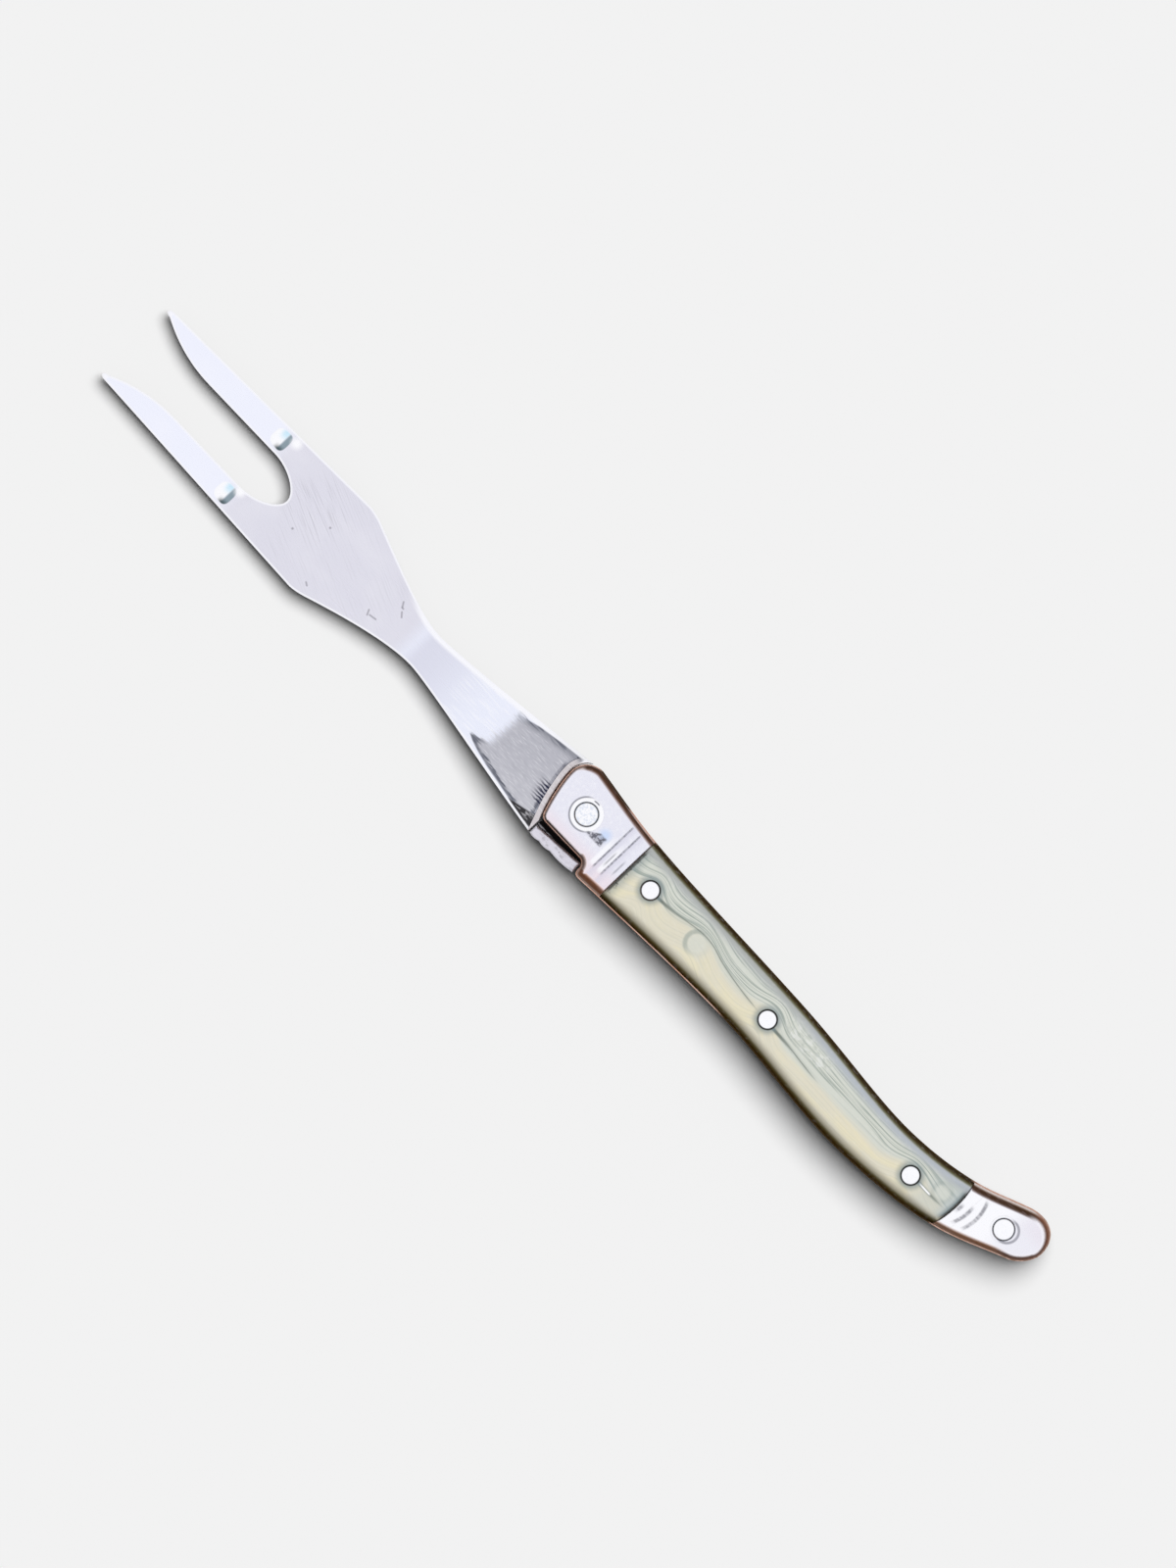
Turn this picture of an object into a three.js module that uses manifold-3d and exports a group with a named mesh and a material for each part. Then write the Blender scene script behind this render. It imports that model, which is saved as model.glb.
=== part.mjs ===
// Two-tined cheese fork with a riveted handle: a steel head on a flared shank and tang, a back spring with
// a cast head, two liners, and bolsters and scales on both sides, held together by pins and rivets.
// Millimetres. +X runs to the tine tips, +Y to the spine of the handle and +Z up. While it is being built,
// the front pin's axis is at x = 0, y = 0 and the middle plane of the handle is at z = 0.

import * as THREE from 'three';
import { mergeVertices } from 'three/addons/utils/BufferGeometryUtils.js';
import Module from 'manifold-3d';

const wasm = await Module();
wasm.setup();

// Layers of the handle, from its middle plane outwards
const CORE_THICKNESS = 2.4;
const LINER_THICKNESS = 0.8;
const COVER_THICKNESS = 2.8;
const COVER_WALL = 0.8;
const COVER_SETBACK = 0.2;
const CORE_SETBACK = 0.3;

// Handle lengths, in order from the front pin to the tail
const PIN_TO_FRONT_JOINT = 11.15;
const SCALE_LENGTH = 76.15;
const REAR_BOLSTER_LENGTH = 16.2;
const REAR_JOINT_BULGE = 0.7;

// Handle outline: how far its belly and its spine lie from the line through the front pin
const CHEEK_AHEAD_OF_PIN = 3.2;
const CHEEK_BELLY = 6.82;
const FRONT_BELLY = 5.08;
const FRONT_SPINE = 7.95;
const MIDDLE_BELLY = 4.03;
const WAIST_BEHIND_FRONT_JOINT = 28.55;
const WAIST_SPINE = 6.78;
const SWELL_AHEAD_OF_REAR_JOINT = 19.9;
const SWELL_SPINE = 8.06;
const HOLLOW_AHEAD_OF_REAR_JOINT = 13.0;
const HOLLOW_BELLY = 2.65;
const REAR_BELLY = 4.58;
const REAR_SPINE = 5.47;

// Rounded tail: where its curve leaves the belly and the spine, its last point, and its drawn corners
const TAIL_BELLY = 8.1;
const TAIL_BELLY_ROUND = 6.9;
const TAIL_BELLY_CORNER = 11.0;
const TAIL_SPINE = 0.27;
const TAIL_SPINE_ROUND = 3.2;
const TAIL_SPINE_CORNER = -1.3;
const TAIL_DROP = 4.2;

// Rounded nose of the handle, and the notch in its spine behind the heel of the fork
const NOSE_AHEAD_OF_PIN = 6.9;
const NOSE_BELLY = 3.2;
const NOSE_LEAN = 0.3;
const NOSE_SETBACK_AT_NOTCH = 2.2;
const NOTCH_FLOOR = 5.77;
const NOTCH_BEHIND_PIN = 5.45;
const NOTCH_DEPTH = 2.48;
const NOTCH_ROUND = 1.2;
const NOTCH_CORNER = 1.0;

// Width of the rounded rim of bolsters and scales
const BELLY_RIM = 1.1;
const SPINE_RIM = 1.3;
const NOSE_RIM = 0.55;
const NOTCH_RIM = 0.6;
const TAIL_RIM = 0.9;
const RIM_SLOPE = 0.4;

// Grooves across the bolsters, and the spot faces around their pins
const GROOVE_WIDTH = 1.1;
const GROOVE_DEPTH = 0.25;
const GROOVE_PITCH = 1.75;
const GROOVE_COUNT = 2;
const FRONT_GROOVE_TO_JOINT = 2.5;
const FRONT_GROOVE_LENGTH = 9.2;
const REAR_GROOVE_TO_JOINT = 2.8;
const REAR_GROOVE_LENGTH = 5.8;
const SPOT_FACE_DEPTH = 0.2;
const FRONT_SPOT_FACE_RING = 0.88;
const REAR_SPOT_FACE_RING = 0.45;

// Pins and rivets
const FRONT_PIN = 3.84;
const REAR_PIN = 3.5;
const REAR_PIN_TO_TAIL = 7.3;
const RIVET = 3.05;
const FRONT_RIVET_TO_JOINT = 5.05;
const MIDDLE_RIVET_TO_JOINT = 33.55;
const REAR_RIVET_TO_JOINT = 8.03;
const FRONT_RIVET_SHIFT = -0.42;
const RIVET_SHIFT = 0.35;
const PIN_CHAMFER = 0.15;
const PIN_CLEARANCE = 0.1;

// Fork head, in order from the front pin to the tips
const SHANK_LENGTH = 37.7;
const TAPER_LENGTH = 22.0;
const BODY_LENGTH = 11.4;
const TINE_LENGTH = 36.0;
const HEAD_THICKNESS = 1.9;
const NECK_ABOVE_TABLE = 2.4;
const HEAD_TILT_DEGREES = 1.2;
const HEAD_BEVEL = 0.3;
const HEAD_SHIFT = 0.19;
const SHOULDER_WIDTH = 18.7;
const SHOULDER_ROUND = 1.2;
const TIP_WIDTH = 15.8;
const TIP_BREADTH = 1.0;
const TIP_ROUND = 0.9;
const TIP_BEVEL = 0.22;
const POINT_LENGTH = 13.4;
const POINT_EASE = 6.6;
const SLOT_WIDTH = 7.9;
const SLOT_ROUND = 7.0;
const SLOT_FULLNESS = 0.48;
const TINE_BEND_DEGREES = 1.2;
const TINE_OVERLAP = 1.0;
const BUMP_AHEAD_OF_BEND = 0.9;
const BUMP_LENGTH = 2.9;
const BUMP_HEIGHT = 0.55;
const BUMP_TO_TINE_EDGE = 0.72;

// Neck, shank and heel
const NECK_BELLY = 2.69;
const NECK_SPINE = 4.03;
const NECK_EASE = 3.7;
const TAPER_EASE = 4.6;
const TAPER_RUN = 9.7;
const TAPER_SLOPE = 0.357;
const HEEL_AHEAD_OF_PIN = 4.65;
const HEEL_BELLY = 6.6;
const HEEL_HEIGHT = 2.98;
const FLARE_RUN = 14.0;
const FLARE_SLOPE = 0.136;
const RAMP_LENGTH = 18.0;
const RAMP_DROP = 0.25;
const LAND_WIDTH = 1.0;
const SHANK_BELLY_BEVEL = 0.8;
const SHANK_SPINE_BEVEL = 1.5;
const SHANK_EDGE = 2.2;
const SHANK_OVERLAP = 2.0;

// Tang, back spring and the cast head on the front end of the spring
const TANG_PAST_RIVET = 4.3;
const FINGER_WIDTH = 1.9;
const NOTCH_SLIT_FRONT = 1.35;
const NOTCH_SLIT_REAR = 0.52;
const SPRING_HEAD_THICKNESS = 5.2;
const SPRING_HEAD_BEVEL = 0.4;
const SPRING_HEAD_CROWN = 0.2;
const FRONT_LOBE_LENGTH = 2.1;
const MIDDLE_LOBE_LENGTH = 2.4;

// Clearances
const JOINT_GAP = 0.12;
const SEAT_GAP = 0.1;
const CORE_GAP = 0.3;
const SHOULDER_GAP = 0.15;

// Fineness of the facets
const ROUND_SIDES = 24;
const RIM_STEPS = 4;
const LONG_CURVE_STEPS = 26;
const SHORT_CURVE_STEPS = 7;
const CORNER_STEPS = 4;
const SHANK_STEPS = 18;
const BUMP_SIDES = 16;
const SEARCH_ROUNDS = 40;
const MERGE_DISTANCE = 1e-4;

// The share of a corner's sides that makes a cubic curve round
const ROUND_FULLNESS = 0.5523;

// Levels and places worked out from the sizes above
const LINER_LEVEL = CORE_THICKNESS / 2;
const COVER_LEVEL = LINER_LEVEL + LINER_THICKNESS;
const FACE_LEVEL = COVER_LEVEL + COVER_THICKNESS;
const NECK_DROP = FACE_LEVEL - HEAD_THICKNESS / 2 - NECK_ABOVE_TABLE;
const FRONT_JOINT = -PIN_TO_FRONT_JOINT;
const REAR_JOINT = FRONT_JOINT - SCALE_LENGTH;
const TAIL = REAR_JOINT - REAR_BOLSTER_LENGTH;
const SHOULDER = SHANK_LENGTH + TAPER_LENGTH;
const SLOT_BOTTOM = SHOULDER + BODY_LENGTH;
const TINE_ROOT = SLOT_BOTTOM + SLOT_ROUND;
const TIP = SLOT_BOTTOM + TINE_LENGTH;
const NOTCH_FRONT = NOSE_AHEAD_OF_PIN - NOSE_SETBACK_AT_NOTCH;
const NOTCH_REAR = -NOTCH_BEHIND_PIN;
const NOTCH_SPINE = NOTCH_FLOOR + NOTCH_DEPTH;
const HEEL_SPINE = NOTCH_FLOOR + HEEL_HEIGHT;
const SEAT_FRONT = NOTCH_FLOOR + NOTCH_SLIT_FRONT;
const SEAT_REAR = NOTCH_FLOOR + NOTCH_SLIT_REAR;
const RAMP_END = NOSE_AHEAD_OF_PIN + SHOULDER_GAP + LAND_WIDTH;
const RAMP_START = RAMP_END + RAMP_LENGTH;
const FINGER_INNER = SEAT_REAR - SEAT_GAP - FINGER_WIDTH;
const TANG_SPINE = FINGER_INNER - CORE_GAP;
const TOOL_REACH = 2 * (CHEEK_BELLY + NOTCH_SPINE);

// Points and curves in the plan

function at(x, y) {
  return new THREE.Vector2(x, y);
}

// A smooth curve through the given points
function curveThrough(...points) {
  const stations = points.map(({ x, y }) => new THREE.Vector3(x, y, 0));
  return new THREE.CatmullRomCurve3(stations, false, 'centripetal');
}

// A curve that rounds off the corner between two points
function roundCorner(from, corner, to, fullness = ROUND_FULLNESS) {
  const leave = from.clone().lerp(corner, fullness);
  const arrive = to.clone().lerp(corner, fullness);
  return new THREE.CubicBezierCurve(from, leave, arrive, to);
}

// Points along a curve without its last one, so that the next curve follows on
function pointsAlong(curve, steps) {
  return Array.from({ length: steps }, (_, step) => {
    const { x, y } = curve.getPoint(step / steps);
    return at(x, y);
  });
}

// The y of a curve that runs one way along X
function heightAt(curve, x) {
  const forward = curve.getPoint(1).x > curve.getPoint(0).x;
  let low = 0;
  let high = 1;
  for (let round = 0; round < SEARCH_ROUNDS; round += 1) {
    const middle = (low + high) / 2;
    if ((curve.getPoint(middle).x < x) === forward) {
      low = middle;
    } else {
      high = middle;
    }
  }
  return curve.getPoint(low).y;
}

function inwardNormal(from, to) {
  return at(from.y - to.y, to.x - from.x).normalize();
}

// A closed counterclockwise outline with each point moved inwards by its own distance
function inset(points, distanceAt) {
  return points.map((point, i) => {
    const before = inwardNormal(points.at(i - 1), point);
    const after = inwardNormal(point, points[(i + 1) % points.length]);
    const mitre = before.clone().add(after).divideScalar(1 + before.dot(after));
    return point.clone().addScaledVector(mitre, distanceAt(i));
  });
}

// Solids

// A closed solid through rings of points that follow one another along one axis, with flat ends
function loft(rings, inPlane) {
  const count = rings[0].length;
  const sides = [];
  for (let ring = 0; ring < rings.length - 1; ring += 1) {
    for (let i = 0; i < count; i += 1) {
      const here = ring * count + i;
      const next = ring * count + (i + 1) % count;
      sides.push(here, next, next + count, here, next + count, here + count);
    }
  }
  const lastRing = (rings.length - 1) * count;
  const cap = (ring) => THREE.ShapeUtils.triangulateShape(ring.map(inPlane), []);
  const bottom = cap(rings[0]).flatMap(([a, b, c]) => [c, b, a]);
  const top = cap(rings.at(-1)).flatMap((corners) => corners.map((corner) => corner + lastRing));
  const geometry = new THREE.BufferGeometry().setFromPoints(rings.flat());
  geometry.setIndex([...bottom, ...sides, ...top]);
  return geometry;
}

function ringAtLevel(points, z) {
  return points.map(({ x, y }) => new THREE.Vector3(x, y, z));
}

// A solid through outlines at rising levels
function stack(...rings) {
  return loft(rings, ({ x, y }) => at(x, y));
}

function plate(points, bottom, top) {
  return stack(ringAtLevel(points, bottom), ringAtLevel(points, top));
}

// A plate around the middle plane with bevelled edges on both faces, whose width may change along the outline
function bevelledPlate(points, thickness, bevel, widthAt = () => bevel) {
  const face = inset(points, (i) => widthAt(points[i]));
  return stack(
    ringAtLevel(face, -thickness / 2),
    ringAtLevel(points, bevel - thickness / 2),
    ringAtLevel(points, thickness / 2 - bevel),
    ringAtLevel(face, thickness / 2),
  );
}

function roundBar(place, diameter, bottom, top) {
  const bar = new THREE.CylinderGeometry(diameter / 2, diameter / 2, top - bottom, ROUND_SIDES);
  return bar.rotateX(Math.PI / 2).translate(place.x, place.y, (top + bottom) / 2);
}

function solid(geometry) {
  const bare = geometry.clone();
  bare.deleteAttribute('normal');
  bare.deleteAttribute('uv');
  const merged = mergeVertices(bare, MERGE_DISTANCE);
  const vertProperties = new Float32Array(merged.attributes.position.array);
  const triVerts = new Uint32Array(merged.index.array);
  return new wasm.Manifold(new wasm.Mesh({ numProp: 3, vertProperties, triVerts }));
}

function joined(first, ...others) {
  return others.reduce((whole, other) => whole.add(solid(other)), first);
}

function without(whole, ...tools) {
  return tools.reduce((rest, tool) => rest.subtract(solid(tool)), whole);
}

function geometryOf(shape) {
  const { vertProperties, triVerts } = shape.getMesh();
  const geometry = new THREE.BufferGeometry();
  geometry.setAttribute('position', new THREE.BufferAttribute(vertProperties, 3));
  geometry.setIndex(new THREE.BufferAttribute(triVerts, 1));
  geometry.computeVertexNormals();
  return geometry;
}

// Outline of the handle, counterclockwise from the tail along the belly

const bellyCurve = curveThrough(
  at(TAIL + TAIL_BELLY_ROUND, -TAIL_BELLY),
  at(REAR_JOINT, -REAR_BELLY),
  at(REAR_JOINT + HOLLOW_AHEAD_OF_REAR_JOINT, -HOLLOW_BELLY),
  at((FRONT_JOINT + REAR_JOINT) / 2, -MIDDLE_BELLY),
  at(FRONT_JOINT, -FRONT_BELLY),
  at(CHEEK_AHEAD_OF_PIN, -CHEEK_BELLY),
);

const spineCurve = curveThrough(
  at(NOTCH_REAR - NOTCH_CORNER, NOTCH_SPINE),
  at(FRONT_JOINT, FRONT_SPINE),
  at(FRONT_JOINT - WAIST_BEHIND_FRONT_JOINT, WAIST_SPINE),
  at(REAR_JOINT + SWELL_AHEAD_OF_REAR_JOINT, SWELL_SPINE),
  at(REAR_JOINT, REAR_SPINE),
  at(TAIL + TAIL_SPINE_ROUND, TAIL_SPINE),
);

// The round nose, from the cheek on the belly side to the front corner of the notch
function noseStretches() {
  const cheek = at(CHEEK_AHEAD_OF_PIN, -CHEEK_BELLY);
  const nose = at(NOSE_AHEAD_OF_PIN, -NOSE_BELLY);
  const lean = at(NOSE_AHEAD_OF_PIN, NOSE_LEAN);
  const notchCorner = at(NOTCH_FRONT, NOTCH_FLOOR);
  const leanLength = notchCorner.distanceTo(lean);
  const leanEnd = notchCorner.clone().lerp(lean, NOTCH_CORNER / leanLength);
  const floorFront = at(NOTCH_FRONT - NOTCH_CORNER, NOTCH_FLOOR);
  return [
    { curve: roundCorner(cheek, at(nose.x, cheek.y), nose), steps: SHORT_CURVE_STEPS, rim: NOSE_RIM },
    { curve: roundCorner(nose, lean, leanEnd), steps: SHORT_CURVE_STEPS, rim: NOSE_RIM },
    { curve: roundCorner(leanEnd, notchCorner, floorFront), steps: CORNER_STEPS, rim: NOSE_RIM },
  ];
}

// The notch, from its front corner to the spine behind it
function notchStretches() {
  const floorFront = at(NOTCH_FRONT - NOTCH_CORNER, NOTCH_FLOOR);
  const floorRear = at(NOTCH_REAR + NOTCH_ROUND, NOTCH_FLOOR);
  const wallFoot = at(NOTCH_REAR, NOTCH_FLOOR + Math.min(NOTCH_ROUND, NOTCH_DEPTH / 2));
  const wallTop = at(NOTCH_REAR, NOTCH_SPINE - Math.min(NOTCH_CORNER, NOTCH_DEPTH / 2));
  const spineFront = at(NOTCH_REAR - NOTCH_CORNER, NOTCH_SPINE);
  const floor = new THREE.LineCurve(floorFront, floorRear);
  const round = roundCorner(floorRear, at(NOTCH_REAR, NOTCH_FLOOR), wallFoot);
  const wall = new THREE.LineCurve(wallFoot, wallTop);
  const corner = roundCorner(wallTop, at(NOTCH_REAR, NOTCH_SPINE), spineFront);
  return [
    { curve: floor, steps: CORNER_STEPS, rim: NOTCH_RIM },
    { curve: round, steps: CORNER_STEPS, rim: NOTCH_RIM },
    { curve: wall, steps: 1, rim: NOTCH_RIM },
    { curve: corner, steps: CORNER_STEPS, rim: NOTCH_RIM },
  ];
}

// The rounded tail, from the spine back to the belly
function tailStretches() {
  const spineEnd = at(TAIL + TAIL_SPINE_ROUND, TAIL_SPINE);
  const last = at(TAIL, -TAIL_DROP);
  const bellyEnd = at(TAIL + TAIL_BELLY_ROUND, -TAIL_BELLY);
  const spineSide = roundCorner(spineEnd, at(TAIL, TAIL_SPINE_CORNER), last);
  const bellySide = roundCorner(last, at(TAIL, -TAIL_BELLY_CORNER), bellyEnd);
  return [
    { curve: spineSide, steps: SHORT_CURVE_STEPS, rim: TAIL_RIM },
    { curve: bellySide, steps: SHORT_CURVE_STEPS, rim: TAIL_RIM },
  ];
}

const stretches = [
  { curve: bellyCurve, steps: LONG_CURVE_STEPS, rim: BELLY_RIM },
  ...noseStretches(),
  ...notchStretches(),
  { curve: spineCurve, steps: LONG_CURVE_STEPS, rim: SPINE_RIM },
  ...tailStretches(),
];
const handleOutline = stretches.flatMap(({ curve, steps }) => pointsAlong(curve, steps));
const stretchRims = stretches.flatMap(({ steps, rim }) => Array(steps).fill(rim));

// The width of the rounded rim at each point of the outline, which grows slowly away from a narrower stretch
const rims = handleOutline.map((point) => {
  const limits = handleOutline.map((other, i) => stretchRims[i] + RIM_SLOPE * point.distanceTo(other));
  return Math.min(...limits);
});

function midlineAt(x) {
  return (heightAt(bellyCurve, x) + heightAt(spineCurve, x)) / 2;
}

// Places of the pins and rivets

function onMidline(x, shift) {
  return at(x, midlineAt(x) + shift);
}

const frontPinPlace = at(0, 0);
const rearPinPlace = onMidline(TAIL + REAR_PIN_TO_TAIL, RIVET_SHIFT);
const frontRivetPlace = onMidline(FRONT_JOINT - FRONT_RIVET_TO_JOINT, FRONT_RIVET_SHIFT);
const middleRivetPlace = onMidline(FRONT_JOINT - MIDDLE_RIVET_TO_JOINT, RIVET_SHIFT);
const rearRivetPlace = onMidline(REAR_JOINT + REAR_RIVET_TO_JOINT, RIVET_SHIFT);

const fasteners = [
  { name: 'front_bolster_pin', place: frontPinPlace, diameter: FRONT_PIN },
  { name: 'rear_bolster_pin', place: rearPinPlace, diameter: REAR_PIN },
  { name: 'front_rivet', place: frontRivetPlace, diameter: RIVET },
  { name: 'middle_rivet', place: middleRivetPlace, diameter: RIVET },
  { name: 'rear_rivet', place: rearRivetPlace, diameter: RIVET },
];

function fastenerHoles() {
  return fasteners.map(({ place, diameter }) => (
    roundBar(place, diameter + 2 * PIN_CLEARANCE, -TOOL_REACH, TOOL_REACH)
  ));
}

function fastenerGeometry({ place, diameter }) {
  const radius = diameter / 2;
  const profile = [
    at(0, -FACE_LEVEL),
    at(radius - PIN_CHAMFER, -FACE_LEVEL),
    at(radius, PIN_CHAMFER - FACE_LEVEL),
    at(radius, FACE_LEVEL - PIN_CHAMFER),
    at(radius - PIN_CHAMFER, FACE_LEVEL),
    at(0, FACE_LEVEL),
  ];
  const bar = new THREE.LatheGeometry(profile, ROUND_SIDES);
  return bar.rotateX(Math.PI / 2).translate(place.x, place.y, 0);
}

// Liners, bolsters and scales of the upper side

function linerGeometry() {
  const whole = solid(plate(handleOutline, LINER_LEVEL, COVER_LEVEL));
  return geometryOf(without(whole, ...fastenerHoles()));
}

// The rounded plate from which the bolsters and the scale are cut
function coverSolid() {
  const base = inset(handleOutline, () => COVER_SETBACK);
  const foot = COVER_LEVEL + COVER_WALL;
  const rings = [ringAtLevel(base, COVER_LEVEL)];
  for (let step = 0; step <= RIM_STEPS; step += 1) {
    const angle = (step / RIM_STEPS) * (Math.PI / 2);
    const ring = inset(handleOutline, (i) => COVER_SETBACK + rims[i] * (1 - Math.cos(angle)));
    rings.push(ringAtLevel(ring, foot + (FACE_LEVEL - foot) * Math.sin(angle)));
  }
  return without(solid(stack(...rings)), ...fastenerHoles());
}

// Everything behind a joint across the handle, as a tool. The joint's points run from the belly to the spine.
function behindJoint(jointPoints) {
  const first = jointPoints[0];
  const last = jointPoints.at(-1);
  const outline = [at(2 * TAIL, first.y), ...jointPoints, at(2 * TAIL, last.y)];
  return plate(outline, -TOOL_REACH, TOOL_REACH);
}

function behindFrontJoint(x) {
  return behindJoint([at(x, -TOOL_REACH), at(x, TOOL_REACH)]);
}

// The rear joint bulges towards the tail, as part of a parabola
function behindRearJoint(x) {
  const halfWidth = (REAR_BELLY + REAR_SPINE) / 2;
  const middle = (REAR_SPINE - REAR_BELLY) / 2;
  const deepest = x - REAR_JOINT_BULGE;
  const rise = REAR_JOINT_BULGE * (TOOL_REACH / halfWidth) ** 2;
  const joint = new THREE.QuadraticBezierCurve(
    at(deepest + rise, middle - TOOL_REACH),
    at(deepest - rise, middle),
    at(deepest + rise, middle + TOOL_REACH),
  );
  return behindJoint(joint.getPoints(ROUND_SIDES));
}

// Round-bottomed grooves across a face
function grooveTools(firstX, middleY, length) {
  const radius = (GROOVE_WIDTH ** 2 / 4 + GROOVE_DEPTH ** 2) / (2 * GROOVE_DEPTH);
  return Array.from({ length: GROOVE_COUNT }, (_, i) => {
    const bar = new THREE.CylinderGeometry(radius, radius, length, ROUND_SIDES);
    return bar.translate(firstX + i * GROOVE_PITCH, middleY, FACE_LEVEL + radius - GROOVE_DEPTH);
  });
}

function spotFace(place, pinDiameter, ring) {
  return roundBar(place, pinDiameter + 2 * ring, FACE_LEVEL - SPOT_FACE_DEPTH, TOOL_REACH);
}

function frontBolsterGeometry() {
  const grooveX = FRONT_JOINT + FRONT_GROOVE_TO_JOINT;
  const tools = [
    behindFrontJoint(FRONT_JOINT + JOINT_GAP),
    spotFace(frontPinPlace, FRONT_PIN, FRONT_SPOT_FACE_RING),
    ...grooveTools(grooveX, midlineAt(grooveX), FRONT_GROOVE_LENGTH),
  ];
  return geometryOf(without(coverSolid(), ...tools));
}

function scaleGeometry() {
  const fromFrontJoint = coverSolid().intersect(solid(behindFrontJoint(FRONT_JOINT)));
  return geometryOf(without(fromFrontJoint, behindRearJoint(REAR_JOINT)));
}

function rearBolsterGeometry() {
  const fromRearJoint = coverSolid().intersect(solid(behindRearJoint(REAR_JOINT - JOINT_GAP)));
  const grooveX = REAR_JOINT - REAR_GROOVE_TO_JOINT - GROOVE_PITCH;
  const tools = [
    spotFace(rearPinPlace, REAR_PIN, REAR_SPOT_FACE_RING),
    ...grooveTools(grooveX, midlineAt(grooveX), REAR_GROOVE_LENGTH),
  ];
  return geometryOf(without(fromRearJoint, ...tools));
}

// Fork blade

// One edge of the blade: the taper from the shoulder to the neck, and the flare from the neck to the heel
function bladeEdge(side, shoulderY, neckY, heelY) {
  const taper = new THREE.CubicBezierCurve(
    at(SHOULDER, shoulderY),
    at(SHOULDER - TAPER_RUN, shoulderY - side * TAPER_SLOPE * TAPER_RUN),
    at(SHANK_LENGTH + TAPER_EASE, neckY),
    at(SHANK_LENGTH, neckY),
  );
  const flare = new THREE.CubicBezierCurve(
    at(SHANK_LENGTH, neckY),
    at(SHANK_LENGTH - NECK_EASE, neckY),
    at(HEEL_AHEAD_OF_PIN + FLARE_RUN, heelY - side * FLARE_SLOPE * FLARE_RUN),
    at(HEEL_AHEAD_OF_PIN, heelY),
  );
  return { side, taper, flare };
}

const bellyEdge = bladeEdge(-1, HEAD_SHIFT - SHOULDER_WIDTH / 2, -NECK_BELLY, -HEEL_BELLY);
const spineEdge = bladeEdge(1, HEAD_SHIFT + SHOULDER_WIDTH / 2, NECK_SPINE, HEEL_SPINE);

function bladeEdgeAt({ taper, flare }, x) {
  return heightAt(x > SHANK_LENGTH ? taper : flare, x);
}

// Half the width over the tines, which narrows from the shoulders to the tips
function headHalfWidthAt(x) {
  return THREE.MathUtils.mapLinear(x, SHOULDER, TIP, SHOULDER_WIDTH / 2, TIP_WIDTH / 2);
}

// One side of the head's body: from the root of its tine over the shoulder and along the taper to the neck
function bodySide({ side, taper }) {
  const tineEdge = (x) => at(x, HEAD_SHIFT + side * headHalfWidthAt(x));
  const start = SHOULDER_ROUND / TAPER_LENGTH;
  const shoulder = roundCorner(tineEdge(SHOULDER + SHOULDER_ROUND), taper.getPoint(0), taper.getPoint(start));
  const along = Array.from({ length: SHANK_STEPS }, (_, step) => (
    taper.getPoint(THREE.MathUtils.lerp(start, 1, step / (SHANK_STEPS - 1)))
  ));
  return [tineEdge(TINE_ROOT), ...pointsAlong(shoulder, CORNER_STEPS), ...along];
}

function bodyOutline() {
  const slotBottom = at(SLOT_BOTTOM, HEAD_SHIFT);
  const bellyRoot = at(TINE_ROOT, HEAD_SHIFT - SLOT_WIDTH / 2);
  const spineRoot = at(TINE_ROOT, HEAD_SHIFT + SLOT_WIDTH / 2);
  const bellyRound = roundCorner(bellyRoot, at(SLOT_BOTTOM, bellyRoot.y), slotBottom, SLOT_FULLNESS);
  const spineRound = roundCorner(slotBottom, at(SLOT_BOTTOM, spineRoot.y), spineRoot, SLOT_FULLNESS);
  return [
    ...bodySide(bellyEdge).reverse(),
    ...pointsAlong(bellyRound, SHORT_CURVE_STEPS),
    ...pointsAlong(spineRound, SHORT_CURVE_STEPS),
    spineRoot,
    ...bodySide(spineEdge),
  ];
}

// A tine on the spine side, flat, from inside the body to its rounded point
function tineOutline() {
  const slot = HEAD_SHIFT + SLOT_WIDTH / 2;
  const edgeAt = (x) => HEAD_SHIFT + headHalfWidthAt(x);
  const root = TINE_ROOT - TINE_OVERLAP;
  const pointStart = TIP - POINT_LENGTH;
  const roundStart = TIP - TIP_ROUND;
  const outer = at(roundStart, edgeAt(roundStart));
  const inner = at(roundStart, outer.y - TIP_BREADTH);
  const tip = at(TIP, outer.y - TIP_BREADTH / 2);
  const taper = new THREE.QuadraticBezierCurve(
    at(pointStart, slot),
    at(pointStart + POINT_EASE, slot),
    inner,
  );
  return [
    at(root, slot),
    ...pointsAlong(taper, SHORT_CURVE_STEPS),
    ...pointsAlong(roundCorner(inner, at(TIP, inner.y), tip), CORNER_STEPS),
    ...pointsAlong(roundCorner(tip, at(TIP, outer.y), outer), CORNER_STEPS),
    outer,
    at(root, edgeAt(root)),
  ];
}

// Turns what lies flat ahead of the tines' root upwards
function bentUp(geometry) {
  const bend = THREE.MathUtils.degToRad(TINE_BEND_DEGREES);
  return geometry.translate(-TINE_ROOT, 0, 0).rotateY(-bend).translate(TINE_ROOT, 0, 0);
}

// The same outline on the other side of the head's middle line
function onBellySide(points) {
  return points.map(({ x, y }) => at(x, 2 * HEAD_SHIFT - y)).reverse();
}

// The bevel narrows where a tine runs out into its point
function tineBevelAt({ x }) {
  const toPoint = Math.max(TIP - TIP_ROUND - x, 0);
  return Math.min(HEAD_BEVEL, TIP_BEVEL + RIM_SLOPE * toPoint);
}

function tines() {
  return [tineOutline(), onBellySide(tineOutline())].map((outline) => (
    bentUp(bevelledPlate(outline, HEAD_THICKNESS, HEAD_BEVEL, tineBevelAt))
  ));
}

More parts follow.
